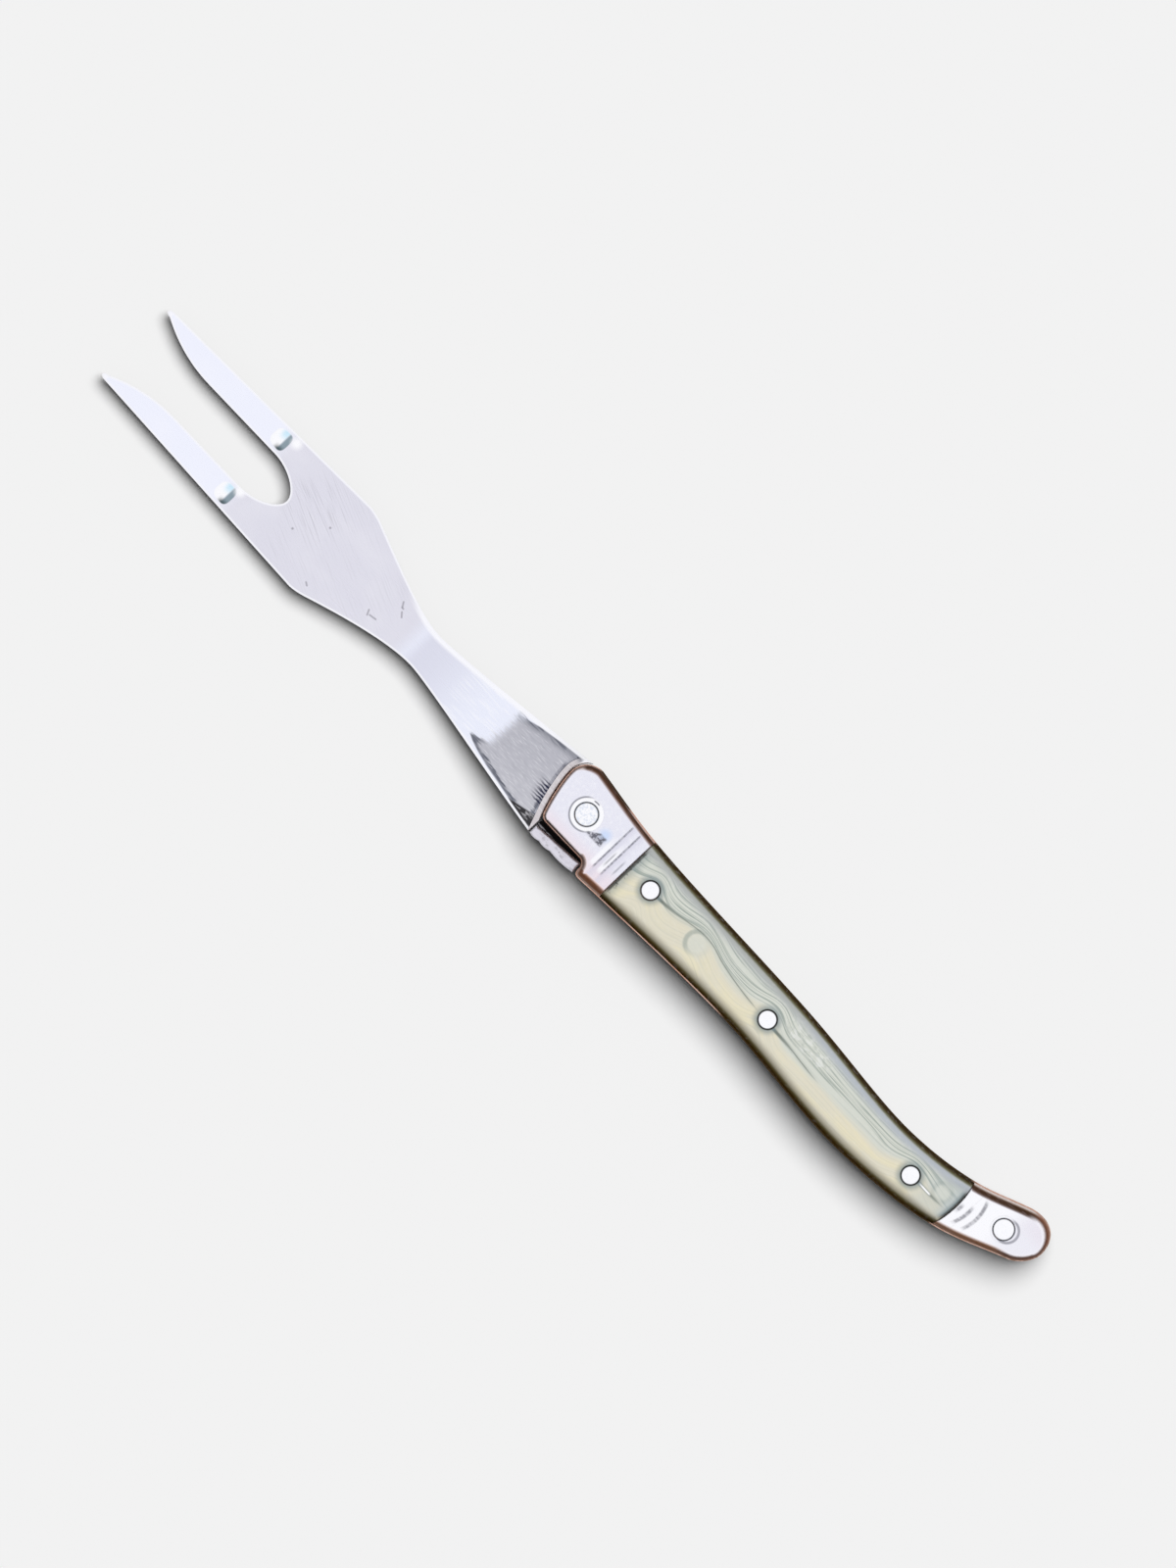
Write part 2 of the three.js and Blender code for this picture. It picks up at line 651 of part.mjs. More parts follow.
// Pressed bumps on the upper face of the tines, or their dimples in the lower face
function bumps(level) {
  const x = TINE_ROOT + BUMP_AHEAD_OF_BEND;
  const tineInner = SLOT_WIDTH / 2;
  const tineOuter = headHalfWidthAt(x);
  const halfWidth = (tineOuter - tineInner) / 2 - BUMP_TO_TINE_EDGE;
  return [-1, 1].map((side) => {
    const bump = new THREE.SphereGeometry(1, BUMP_SIDES, BUMP_SIDES / 2);
    bump.scale(BUMP_LENGTH / 2, halfWidth, BUMP_HEIGHT);
    return bentUp(bump.translate(x, HEAD_SHIFT + side * (tineInner + tineOuter) / 2, level));
  });
}

// How far the blade has come down from the level of the handle's middle
function dropAt(x) {
  const neck = SHANK_LENGTH - SHANK_OVERLAP;
  const slope = Math.tan(THREE.MathUtils.degToRad(HEAD_TILT_DEGREES));
  return NECK_DROP * THREE.MathUtils.smoothstep(x, RAMP_END, neck) + slope * Math.max(x - neck, 0);
}

// Lets what was made at the level of the handle's middle droop with the blade
function drooped(geometry) {
  const places = geometry.getAttribute('position');
  for (let i = 0; i < places.count; i += 1) {
    places.setZ(i, places.getZ(i) - dropAt(places.getX(i)));
  }
  return geometry;
}

// The shank, chamfered along both edges and drooping to the head, with its face at a level that may change along it
function shank(faceAt) {
  const back = CHEEK_AHEAD_OF_PIN - SHANK_OVERLAP;
  const front = SHANK_LENGTH + SHANK_OVERLAP;
  const rings = Array.from({ length: SHANK_STEPS + 1 }, (_, step) => {
    const x = THREE.MathUtils.lerp(back, front, step / SHANK_STEPS);
    const flared = rampShare(x);
    const face = faceAt(x);
    const edge = THREE.MathUtils.lerp(HEAD_THICKNESS / 2 - HEAD_BEVEL, SHANK_EDGE / 2, flared);
    const belly = bladeEdgeAt(bellyEdge, x);
    const spine = bladeEdgeAt(spineEdge, x);
    const bellyFace = belly + THREE.MathUtils.lerp(HEAD_BEVEL, SHANK_BELLY_BEVEL, flared);
    const spineFace = spine - THREE.MathUtils.lerp(HEAD_BEVEL, SHANK_SPINE_BEVEL, flared);
    const section = [
      [belly, -edge], [bellyFace, -face], [spineFace, -face], [spine, -edge],
      [spine, edge], [spineFace, face], [bellyFace, face], [belly, edge],
    ];
    return section.map(([y, z]) => new THREE.Vector3(x, y, z - dropAt(x)));
  });
  return loft(rings, ({ y, z }) => at(y, z));
}

// How far the shank has risen from the thickness of the head to that of the handle's nose
function rampShare(x) {
  return THREE.MathUtils.clamp((RAMP_START - x) / RAMP_LENGTH, 0, 1);
}

function rampLevel(x) {
  return THREE.MathUtils.lerp(HEAD_THICKNESS / 2, COVER_LEVEL - RAMP_DROP, rampShare(x) ** 2);
}

// Everything behind the nose of the handle, moved ahead by a distance, as a tool
function behindNose(distance, bottom, top) {
  const [round, lean] = noseStretches();
  const notchCorner = at(NOTCH_FRONT, NOTCH_FLOOR);
  const leaning = notchCorner.clone().sub(at(NOSE_AHEAD_OF_PIN, NOSE_LEAN));
  const pastNotch = notchCorner.add(leaning);
  const outline = [
    at(FRONT_JOINT, -CHEEK_BELLY),
    ...pointsAlong(round.curve, round.steps),
    ...pointsAlong(lean.curve, lean.steps),
    pastNotch,
    at(FRONT_JOINT, pastNotch.y),
  ];
  return plate(inset(outline, () => -distance), bottom, top);
}

// The tang between the liners, from the shank past the front rivet
function tangOutline() {
  const back = frontRivetPlace.x - TANG_PAST_RIVET;
  const belly = Array.from({ length: SHORT_CURVE_STEPS + 1 }, (_, step) => {
    const x = THREE.MathUtils.lerp(back, CHEEK_AHEAD_OF_PIN, step / SHORT_CURVE_STEPS);
    return at(x, heightAt(bellyCurve, x) + CORE_SETBACK);
  });
  return [...belly, at(CHEEK_AHEAD_OF_PIN, TANG_SPINE), at(back, TANG_SPINE)];
}

// Room behind the heel for the spring and its head
function heelTool() {
  const outline = [
    at(FRONT_JOINT, TANG_SPINE),
    at(HEEL_AHEAD_OF_PIN, TANG_SPINE),
    at(HEEL_AHEAD_OF_PIN, TOOL_REACH),
    at(FRONT_JOINT, TOOL_REACH),
  ];
  return plate(outline, -TOOL_REACH, TOOL_REACH);
}

function forkBladeGeometry() {
  const shoulderLand = solid(shank(() => COVER_LEVEL))
    .intersect(solid(behindNose(SHOULDER_GAP + LAND_WIDTH, -COVER_LEVEL, COVER_LEVEL)));
  const head = joined(
    solid(drooped(bevelledPlate(bodyOutline(), HEAD_THICKNESS, HEAD_BEVEL))),
    ...tines().map(drooped),
    ...bumps(HEAD_THICKNESS / 2).map(drooped),
    shank(rampLevel),
  );
  const shaped = without(
    head.add(shoulderLand),
    ...bumps(-HEAD_THICKNESS / 2).map(drooped),
    behindNose(SHOULDER_GAP, LINER_LEVEL, TOOL_REACH),
    behindNose(SHOULDER_GAP, -TOOL_REACH, -LINER_LEVEL),
    heelTool(),
  );
  const withTang = joined(shaped, plate(tangOutline(), -LINER_LEVEL, LINER_LEVEL));
  return geometryOf(without(withTang, ...fastenerHoles()));
}

// Back spring, and the cast head that shows in the notch

const springHeadFront = HEEL_AHEAD_OF_PIN - CORE_GAP;
const springHeadRear = NOTCH_REAR + CORE_GAP;

// The straight seat between the spring's finger and its head
function seatAt(x) {
  return THREE.MathUtils.mapLinear(x, springHeadRear, springHeadFront, SEAT_REAR, SEAT_FRONT);
}

// The spring fills the handle behind the tang, and its finger runs forward along the spine under the head
function backSpringGeometry() {
  const inner = inset(handleOutline, () => CORE_SETBACK);
  const front = frontRivetPlace.x - TANG_PAST_RIVET - CORE_GAP;
  const step = NOTCH_REAR - NOTCH_CORNER;
  const belly = inner.slice(0, LONG_CURVE_STEPS).filter(({ x }) => x < front);
  const spineAndTail = inner.slice(-LONG_CURVE_STEPS - 2 * SHORT_CURVE_STEPS).filter(({ x }) => x < step);
  const fingerOuter = (x) => at(x, seatAt(x) - SEAT_GAP);
  const outline = [
    ...belly,
    at(front, heightAt(bellyCurve, front) + CORE_SETBACK),
    at(front, FINGER_INNER),
    at(springHeadFront, FINGER_INNER),
    fingerOuter(springHeadFront),
    fingerOuter(step),
    ...spineAndTail,
  ];
  const whole = solid(plate(outline, -LINER_LEVEL, LINER_LEVEL));
  return geometryOf(without(whole, ...fastenerHoles()));
}

// The outer side of the head follows the line from the heel to the spine in three crowned lobes
function springHeadGeometry() {
  const outerAt = (x) => {
    const y = THREE.MathUtils.mapLinear(x, springHeadRear, springHeadFront, NOTCH_SPINE, HEEL_SPINE);
    return at(x, y);
  };
  const firstValley = springHeadFront - FRONT_LOBE_LENGTH;
  const secondValley = firstValley - MIDDLE_LOBE_LENGTH;
  const valleys = [springHeadFront, firstValley, secondValley, springHeadRear].map(outerAt);
  const lobes = valleys.slice(0, -1).flatMap((from, i) => {
    const to = valleys[i + 1];
    const crown = from.clone().add(to).divideScalar(2).add(at(0, 2 * SPRING_HEAD_CROWN));
    return pointsAlong(new THREE.QuadraticBezierCurve(from, crown, to), CORNER_STEPS);
  });
  const outline = [
    at(springHeadRear, SEAT_REAR),
    at(springHeadFront, SEAT_FRONT),
    ...lobes,
    valleys.at(-1),
  ];
  return bevelledPlate(outline, SPRING_HEAD_THICKNESS, SPRING_HEAD_BEVEL);
}

// Finishes

const steel = new THREE.MeshStandardMaterial({ color: 0xdfdfe6, roughness: 0.3, metalness: 1 });
const darkSteel = new THREE.MeshStandardMaterial({ color: 0x4a4643, roughness: 0.6, metalness: 1 });
const castSteel = new THREE.MeshStandardMaterial({ color: 0xc9c7c8, roughness: 0.7, metalness: 1 });
const polishedSteel = new THREE.MeshStandardMaterial({ color: 0xf0eef2, roughness: 0.2, metalness: 1 });
const copper = new THREE.MeshStandardMaterial({ color: 0xb07a5e, roughness: 0.35, metalness: 1 });
const marbled = new THREE.MeshStandardMaterial({ color: 0xd6d8c8, roughness: 0.25, metalness: 0 });

// Assembly

function piece(name, geometry, material) {
  const mesh = new THREE.Mesh(geometry, material);
  mesh.name = name;
  return mesh;
}

// The plates of one side of the handle, named for that side
function sidePlates(sideName) {
  const plates = new THREE.Group();
  plates.add(
    piece(`${sideName}_liner`, linerGeometry(), copper),
    piece(`${sideName}_front_bolster`, frontBolsterGeometry(), steel),
    piece(`${sideName}_scale`, scaleGeometry(), marbled),
    piece(`${sideName}_rear_bolster`, rearBolsterGeometry(), steel),
  );
  return plates;
}

const upperSide = sidePlates('upper');
const lowerSide = sidePlates('lower');
lowerSide.scale.z = -1;

const fork = new THREE.Group();
fork.add(
  piece('fork_blade', forkBladeGeometry(), steel),
  piece('back_spring', backSpringGeometry(), darkSteel),
  piece('spring_head', springHeadGeometry(), castSteel),
  upperSide,
  lowerSide,
  ...fasteners.map((fastener) => piece(fastener.name, fastenerGeometry(fastener), polishedSteel)),
);

// The finished part lies on its lower side, with the middle of its length and width over the origin
fork.updateMatrixWorld(true);
const bounds = new THREE.Box3().setFromObject(fork, true);
const middle = bounds.getCenter(new THREE.Vector3());
fork.position.set(-middle.x, -middle.y, -bounds.min.z);

export default fork;
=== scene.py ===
"""Dresses a two-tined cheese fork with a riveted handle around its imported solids.

Plan sizes are millimetres from the axis of the front pin: x runs to the tips of the tines, y to the spine of
the handle and z up from the middle plane of the handle. Blender's own lengths are metres.
"""

import logging
import math
from collections.abc import Callable, Sequence
from dataclasses import dataclass
from enum import Enum
from typing import Union

import bpy
import numpy as np
from mathutils import Matrix, Vector, geometry, noise

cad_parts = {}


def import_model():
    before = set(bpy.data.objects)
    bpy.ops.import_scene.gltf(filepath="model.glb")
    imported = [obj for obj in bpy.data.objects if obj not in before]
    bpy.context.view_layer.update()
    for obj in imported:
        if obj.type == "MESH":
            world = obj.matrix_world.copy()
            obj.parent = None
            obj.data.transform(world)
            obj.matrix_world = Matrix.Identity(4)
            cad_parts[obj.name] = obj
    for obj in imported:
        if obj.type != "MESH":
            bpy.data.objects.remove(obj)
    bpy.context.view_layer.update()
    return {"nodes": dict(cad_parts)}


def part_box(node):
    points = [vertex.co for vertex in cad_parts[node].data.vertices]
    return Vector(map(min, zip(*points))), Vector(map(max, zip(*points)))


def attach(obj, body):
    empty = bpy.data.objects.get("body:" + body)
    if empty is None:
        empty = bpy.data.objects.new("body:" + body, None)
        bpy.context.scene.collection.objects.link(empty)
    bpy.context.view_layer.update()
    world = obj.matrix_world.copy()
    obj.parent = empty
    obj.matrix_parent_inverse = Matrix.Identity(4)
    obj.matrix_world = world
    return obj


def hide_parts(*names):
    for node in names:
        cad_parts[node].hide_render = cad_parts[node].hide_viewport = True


Points = np.ndarray
Colour = tuple[float, float, float, float]
Number = Union["Signal", float]
Tone = Union["Signal", Colour]
Pair = tuple[float, float]
Triple = tuple[float, float, float]
Stops = tuple[tuple[float, Colour], ...]
Values = np.ndarray
Fields = dict[str, np.ndarray]
Piece = bpy.types.Object
Pieces = dict[str, bpy.types.Object]
Material = bpy.types.Material
Finishes = dict[str, bpy.types.Material]

LOG = logging.getLogger("cheese_fork")
BODY = "root"
MM = 0.001
SHARP_ANGLE = math.radians(32.0)
ROUND_FULLNESS = 0.5523
SEARCH_BLOCK = 800
WELD_DISTANCE = 1e-5
LINE_CLEARANCE = 0.45
RIM_CLEARANCE = 0.4
SHADER_SOCKETS = {
    "roughness": "Roughness",
    "metallic": "Metallic",
    "specular": "Specular IOR Level",
    "coat": "Coat Weight",
}


def srgb(red: int, green: int, blue: int) -> Colour:
    """Turns a screen colour into the linear colour that shaders take.

    Args:
        red: Red from 0 to 255.
        green: Green from 0 to 255.
        blue: Blue from 0 to 255.

    Returns:
        The linear colour, opaque.
    """
    shares = (red / 255, green / 255, blue / 255)
    linear = [share / 12.92 if share <= 0.04045 else ((share + 0.055) / 1.055) ** 2.4 for share in shares]
    return (linear[0], linear[1], linear[2], 1.0)


def stops(*rows: tuple[float, int, int, int]) -> Stops:
    """Makes a ramp's stops from rows of a place and its red, green and blue."""
    return tuple((place, srgb(red, green, blue)) for place, red, green, blue in rows)


WHITE = srgb(253, 253, 255)


# Points and curves in the plan


def plan_points(*pairs: Pair) -> Points:
    """Collects pairs of millimetres as plan points."""
    return np.array(pairs, dtype=float)


def straight(start: Points, end: Points, steps: int) -> Points:
    """Points along a straight line, both ends included."""
    return start + np.linspace(0.0, 1.0, steps + 1)[:, None] * (end - start)


def bezier(controls: Sequence[Points], steps: int) -> Points:
    """Points along a Bezier curve, both ends included.

    Args:
        controls: The curve's control points.
        steps: How many steps the curve is cut into.

    Returns:
        One row for each point.
    """
    share = np.linspace(0.0, 1.0, steps + 1)[:, None]
    layer = [np.repeat(np.asarray(control)[None], steps + 1, axis=0) for control in controls]
    while len(layer) > 1:
        layer = [first + (second - first) * share for first, second in zip(layer, layer[1:])]
    return layer[0]


def round_corner(
    start: Points, corner: Points, end: Points, steps: int, fullness: float = ROUND_FULLNESS
) -> Points:
    """Points along a curve that rounds off a corner.

    Args:
        start: Where the curve begins.
        corner: The corner that it rounds.
        end: Where the curve ends.
        steps: How many steps the curve is cut into.
        fullness: The share of the corner's sides that the curve follows.

    Returns:
        One row for each point, both ends included.
    """
    leave = start + (corner - start) * fullness
    arrive = end + (corner - end) * fullness
    return bezier((start, leave, arrive, end), steps)


def smooth_through(stations: Points, steps: int) -> Points:
    """Points along a smooth curve that passes through stations without overshooting them.

    Args:
        stations: The points that the curve passes through.
        steps: How many steps the curve is cut into.

    Returns:
        One row for each point, both ends included.
    """
    before = 2 * stations[0] - stations[1]
    after = 2 * stations[-1] - stations[-2]
    padded = np.vstack((before, stations, after))
    spans = len(stations) - 1
    place = np.linspace(0.0, spans, steps + 1)
    span = np.minimum(place.astype(int), spans - 1)
    share = (place - span)[:, None]
    p0, p1, p2, p3 = (padded[span + k] for k in range(4))
    d0, d1, d2 = (np.sqrt(np.linalg.norm(b - a, axis=1))[:, None] for a, b in ((p0, p1), (p1, p2), (p2, p3)))
    leave = ((p1 - p0) / d0 - (p2 - p0) / (d0 + d1) + (p2 - p1) / d1) * d1
    arrive = ((p2 - p1) / d1 - (p3 - p1) / (d1 + d2) + (p3 - p2) / d2) * d1
    square = 3 * (p2 - p1) - 2 * leave - arrive
    cube = 2 * (p1 - p2) + leave + arrive
    return p1 + leave * share + square * share**2 + cube * share**3


def chain(*runs: Points) -> Points:
    """Joins runs that follow one another into a closed outline, each shared point once."""
    return np.vstack([run[:-1] for run in runs])


def height_along(curve: Points, x: Values | float) -> Values | float:
    """The y of a curve that runs one way along x."""
    order = np.argsort(curve[:, 0])
    return np.interp(x, curve[order, 0], curve[order, 1])


def circle(centre: Points, radius: float, sides: int) -> Points:
    """Points round a circle, counterclockwise."""
    turn = np.linspace(0.0, 2 * math.pi, sides, endpoint=False)
    return centre + radius * np.column_stack((np.cos(turn), np.sin(turn)))


def left_normals(line: Points) -> Points:
    """Unit normals to the left of an open line at each of its points."""
    heading = np.gradient(line, axis=0)
    heading /= np.linalg.norm(heading, axis=1)[:, None]
    return np.column_stack((-heading[:, 1], heading[:, 0]))


def inset(outline: Points, distances: Values | float) -> Points:
    """A closed counterclockwise outline with each point moved inwards.

    Args:
        outline: The outline's points.
        distances: How far each point moves, or one distance for all.

    Returns:
        The moved points, in the same order.
    """
    heading = np.roll(outline, -1, axis=0) - outline
    heading /= np.linalg.norm(heading, axis=1)[:, None]
    after = np.column_stack((-heading[:, 1], heading[:, 0]))
    before = np.roll(after, 1, axis=0)
    mitre = (before + after) / (1 + (before * after).sum(axis=1))[:, None]
    return outline + mitre * np.broadcast_to(distances, len(outline))[:, None]


def nearest(places: Points, line: Points, closed: bool) -> tuple[Values, Values]:
    """Finds the nearest spot of a line for each place.

    Args:
        places: The places to measure from.
        line: The line's points.
        closed: Whether the last point joins the first.

    Returns:
        The distance of each place, and the nearest spot as a point's number plus a share of the next step.
    """
    ends = np.roll(line, -1, axis=0) if closed else line[1:]
    starts = line if closed else line[:-1]
    step = ends - starts
    length_squared = (step**2).sum(axis=1)
    distances, spots = [], []
    for first in range(0, len(places), SEARCH_BLOCK):
        away = places[first:first + SEARCH_BLOCK, None] - starts[None]
        share = np.clip((away * step).sum(axis=2) / length_squared, 0.0, 1.0)
        gap = ((away - share[..., None] * step) ** 2).sum(axis=2)
        best = gap.argmin(axis=1)
        row = np.arange(len(best))
        distances.append(np.sqrt(gap[row, best]))
        spots.append(best + share[row, best])
    return np.concatenate(distances), np.concatenate(spots)


def along(values: Values, spots: Values) -> Values:
    """Reads values that belong to a closed outline's points at spots between them."""
    number = np.floor(spots).astype(int)
    share = spots - number
    count = len(values)
    return values[number % count] * (1 - share) + values[(number + 1) % count] * share


def eased(values: Values, outline: Points, slope: float) -> Values:
    """Limits values along an outline so that they grow slowly away from the smaller ones."""
    gaps = np.linalg.norm(outline[:, None] - outline[None], axis=2)
    return (values[None] + slope * gaps).min(axis=1)


def inside(places: Points, outline: Points) -> Values:
    """Tells which places lie inside a closed outline.

    Args:
        places: The places to test.
        outline: The outline's points.

    Returns:
        True for each place inside.
    """
    result = np.zeros(len(places), dtype=bool)
    x, y = places[:, 0], places[:, 1]
    for (x0, y0), (x1, y1) in zip(outline, np.roll(outline, -1, axis=0)):
        if y0 == y1:
            continue
        crosses = (y0 > y) != (y1 > y)
        result ^= crosses & (x < x0 + (y - y0) * (x1 - x0) / (y1 - y0))
    return result


def smooth_step(values: Values, low: float, high: float) -> Values:
    """Rises smoothly from 0 at low to 1 at high."""
    share = np.clip((values - low) / (high - low), 0.0, 1.0)
    return share * share * (3 - 2 * share)


# Solids


class Side(Enum):
    """The two faces of the handle."""

    UPPER = 1
    LOWER = -1

    @property
    def label(self) -> str:
        """The word that the side's pieces start with."""
        return self.name.lower()


@dataclass(frozen=True)
class Patch:
    """A flat patch of triangles in the plan, counterclockwise seen from above."""

    places: Points
    triangles: Values

    @classmethod
    def fill(
        cls,
        outline: Points,
        loops: Sequence[Points],
        lines: Sequence[Points],
        spacing: float,
        rims: Values | float = 0.0,
    ) -> "Patch":
        """Fills an outline with triangles that keep to given loops and lines.

        Args:
            outline: The closed outline.
            loops: Closed lines that triangles don't cross.
            lines: Open lines that triangles don't cross.
            spacing: The distance between the points in between.
            rims: How wide a rim those points keep clear of, at each point of the outline or all over.

        Returns:
            The patch.
        """
        low = outline.min(axis=0)
        high = outline.max(axis=0)
        rows = np.arange(low[1], high[1], spacing * math.sqrt(0.75))
        columns = np.arange(low[0], high[0], spacing)
        grid = np.vstack([
            np.column_stack((columns + spacing / 2 * (number % 2), np.full(len(columns), row)))
            for number, row in enumerate(rows)
        ])
        grid = grid[inside(grid, outline)]
        distance, spot = nearest(grid, outline, True)
        rim = along(np.broadcast_to(rims, len(outline)), spot)
        grid = grid[distance > rim + spacing * RIM_CLEARANCE]
        barriers = [(loop, True) for loop in loops] + [(line, False) for line in lines]
        for line, closed in barriers:
            grid = grid[nearest(grid, line, closed)[0] > spacing * LINE_CLEARANCE]
        edges = []
        count = 0
        for line, closed in [(outline, True), *barriers]:
            numbers = np.arange(count, count + len(line))
            pairs = np.column_stack((numbers, np.roll(numbers, -1)))
            edges.extend((pairs if closed else pairs[:-1]).tolist())
            count += len(line)
        places = [Vector(place) for place in np.vstack([outline, *loops, *lines, grid])]
        border = list(range(len(outline)))
        result = geometry.delaunay_2d_cdt(places, edges, [border], 1, WELD_DISTANCE)
        found = np.array([tuple(place) for place in result[0]])
        return cls(found, np.array(result[2])).upright()

    def upright(self) -> "Patch":
        """The same patch with every triangle counterclockwise."""
        a, b, c = (self.places[self.triangles[:, k]] for k in range(3))
        turn = (b - a)[:, 0] * (c - a)[:, 1] - (b - a)[:, 1] * (c - a)[:, 0]
        triangles = self.triangles.copy()
        triangles[turn < 0] = triangles[turn < 0][:, ::-1]
        return Patch(self.places, triangles)

    def part(self, kept: Callable[[Points], Values]) -> "Patch":
        """The triangles whose middles are kept, with only the places that they use."""
        triangles = self.triangles[kept(self.places[self.triangles].mean(axis=1))]
        used, numbers = np.unique(triangles, return_inverse=True)
        return Patch(self.places[used], numbers.reshape(-1, 3))

    def border(self) -> list[tuple[int, int]]:
        """The edges with a triangle on one side only, with that triangle on their left."""
        directed = {(t[k - 1], t[k]) for t in self.triangles.tolist() for k in range(3)}
        return [(a, b) for a, b in directed if (b, a) not in directed]

    def solid(
        self,
        name: str,
        datum: Vector,
        top: Values,
        bottom: Values,
        fields: Fields,
        side: Side = Side.UPPER,
    ) -> Piece:
        """Raises the patch into a closed solid between two surfaces.

        Args:
            name: The piece's name.
            datum: The front pin's axis at the handle's middle plane, in metres.
            top: The upper surface's height at each place.
            bottom: The lower surface's height at each place.
            fields: Values at each place that the finishes read, by name.
            side: The lower side is the upper one turned over the middle plane.

        Returns:
            The piece.
        """
        count = len(self.places)
        heights = np.concatenate((top, bottom)) * side.value
        flat = np.vstack((self.places, self.places))
        corners = np.column_stack((flat, heights)) * MM + np.array(datum)
        faces = [tuple(t) for t in self.triangles.tolist()]
        faces += [tuple(number + count for number in reversed(t)) for t in self.triangles.tolist()]
        faces += [(a + count, b + count, b, a) for a, b in sorted(self.border())]
        if side is Side.LOWER:
            faces = [face[::-1] for face in faces]
        doubled = {key: np.concatenate((values, values)) for key, values in fields.items()}
        return make_piece(name, corners, faces, doubled)


def make_piece(name: str, corners: Points, faces: list[tuple[int, ...]], fields: Fields) -> Piece:
    """Makes a smooth-shaded piece that rides on the fork's body.

    Args:
        name: The piece's name.
        corners: The corners in metres.
        faces: The corner numbers of each face.
        fields: Values at each corner that the finishes read, by name.

    Returns:
        The piece.
    """
    mesh = bpy.data.meshes.new(name)
    mesh.from_pydata(corners.tolist(), [], faces)
    for key, values in fields.items():
        layer = mesh.attributes.new(key, "FLOAT", "POINT")
        layer.data.foreach_set("value", np.asarray(values, dtype=np.float32))
    mesh.shade_smooth()
    mesh.set_sharp_from_angle(angle=SHARP_ANGLE)
    mesh.update()
    piece = bpy.data.objects.new(name, mesh)
    bpy.context.collection.objects.link(piece)
    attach(piece, BODY)
    LOG.info("piece %s: %d faces", name, len(faces))
    return piece


def dress(piece: Piece, material: Material) -> None:
    """Gives a piece its finish."""
    piece.data.materials.clear()
    piece.data.materials.append(material)


# Shader expressions


class Signal:
    """A shader socket that Python's operators combine through Math nodes."""

    def __init__(self, board: "Board", socket: bpy.types.NodeSocket) -> None:
        """Keeps the socket and the board whose tree it is in."""
        self.board = board
        self.socket = socket

    def _math(self, operation: str, first: Number, second: Number = 0.0) -> "Signal":
        """Adds one Math node."""
        return self.board.signal("ShaderNodeMath", 0, {"operation": operation}, {0: first, 1: second})

    def __add__(self, other: Number) -> "Signal":
        """Adds."""
        return self._math("ADD", self, other)

    __radd__ = __add__

    def __sub__(self, other: Number) -> "Signal":
        """Subtracts."""
        return self._math("SUBTRACT", self, other)

    def __rsub__(self, other: float) -> "Signal":
        """Subtracts this from a number."""
        return self._math("SUBTRACT", other, self)

    def __mul__(self, other: Number) -> "Signal":
        """Multiplies."""
        return self._math("MULTIPLY", self, other)

    __rmul__ = __mul__

    def __truediv__(self, other: float) -> "Signal":
        """Divides."""
        return self._math("DIVIDE", self, other)

    def __pow__(self, power: float) -> "Signal":
        """Raises to a power."""
        return self._math("POWER", self, power)

    def __abs__(self) -> "Signal":
        """Drops the sign."""
        return self._math("ABSOLUTE", self)

    def sine(self) -> "Signal":
        """The sine of the value in radians."""
        return self._math("SINE", self)

    def smaller(self, other: Number) -> "Signal":
        """The smaller of two values."""
        return self._math("MINIMUM", self, other)

    def larger(self, other: Number) -> "Signal":
        """The larger of two values."""
        return self._math("MAXIMUM", self, other)

    def rise(self, low: float, high: float) -> "Signal":
        """Goes smoothly from 0 at low to 1 at high, and falls where low is the larger."""
        sockets = {"Value": self, "From Min": low, "From Max": high}
        return self.board.signal("ShaderNodeMapRange", 0, {"interpolation_type": "SMOOTHSTEP"}, sockets)

    def within(self, low: float, high: float, soft: float) -> "Signal":
        """Is 1 between two values and 0 outside, with soft ends."""
        return self.rise(low - soft, low + soft) * self.rise(high + soft, high - soft)

    def line_at(self, place: Number, half_width: float) -> "Signal":
        """Is 1 on a place and fades to 0 at a half width on both sides."""
        return abs(self - place).rise(half_width, half_width * 0.25)


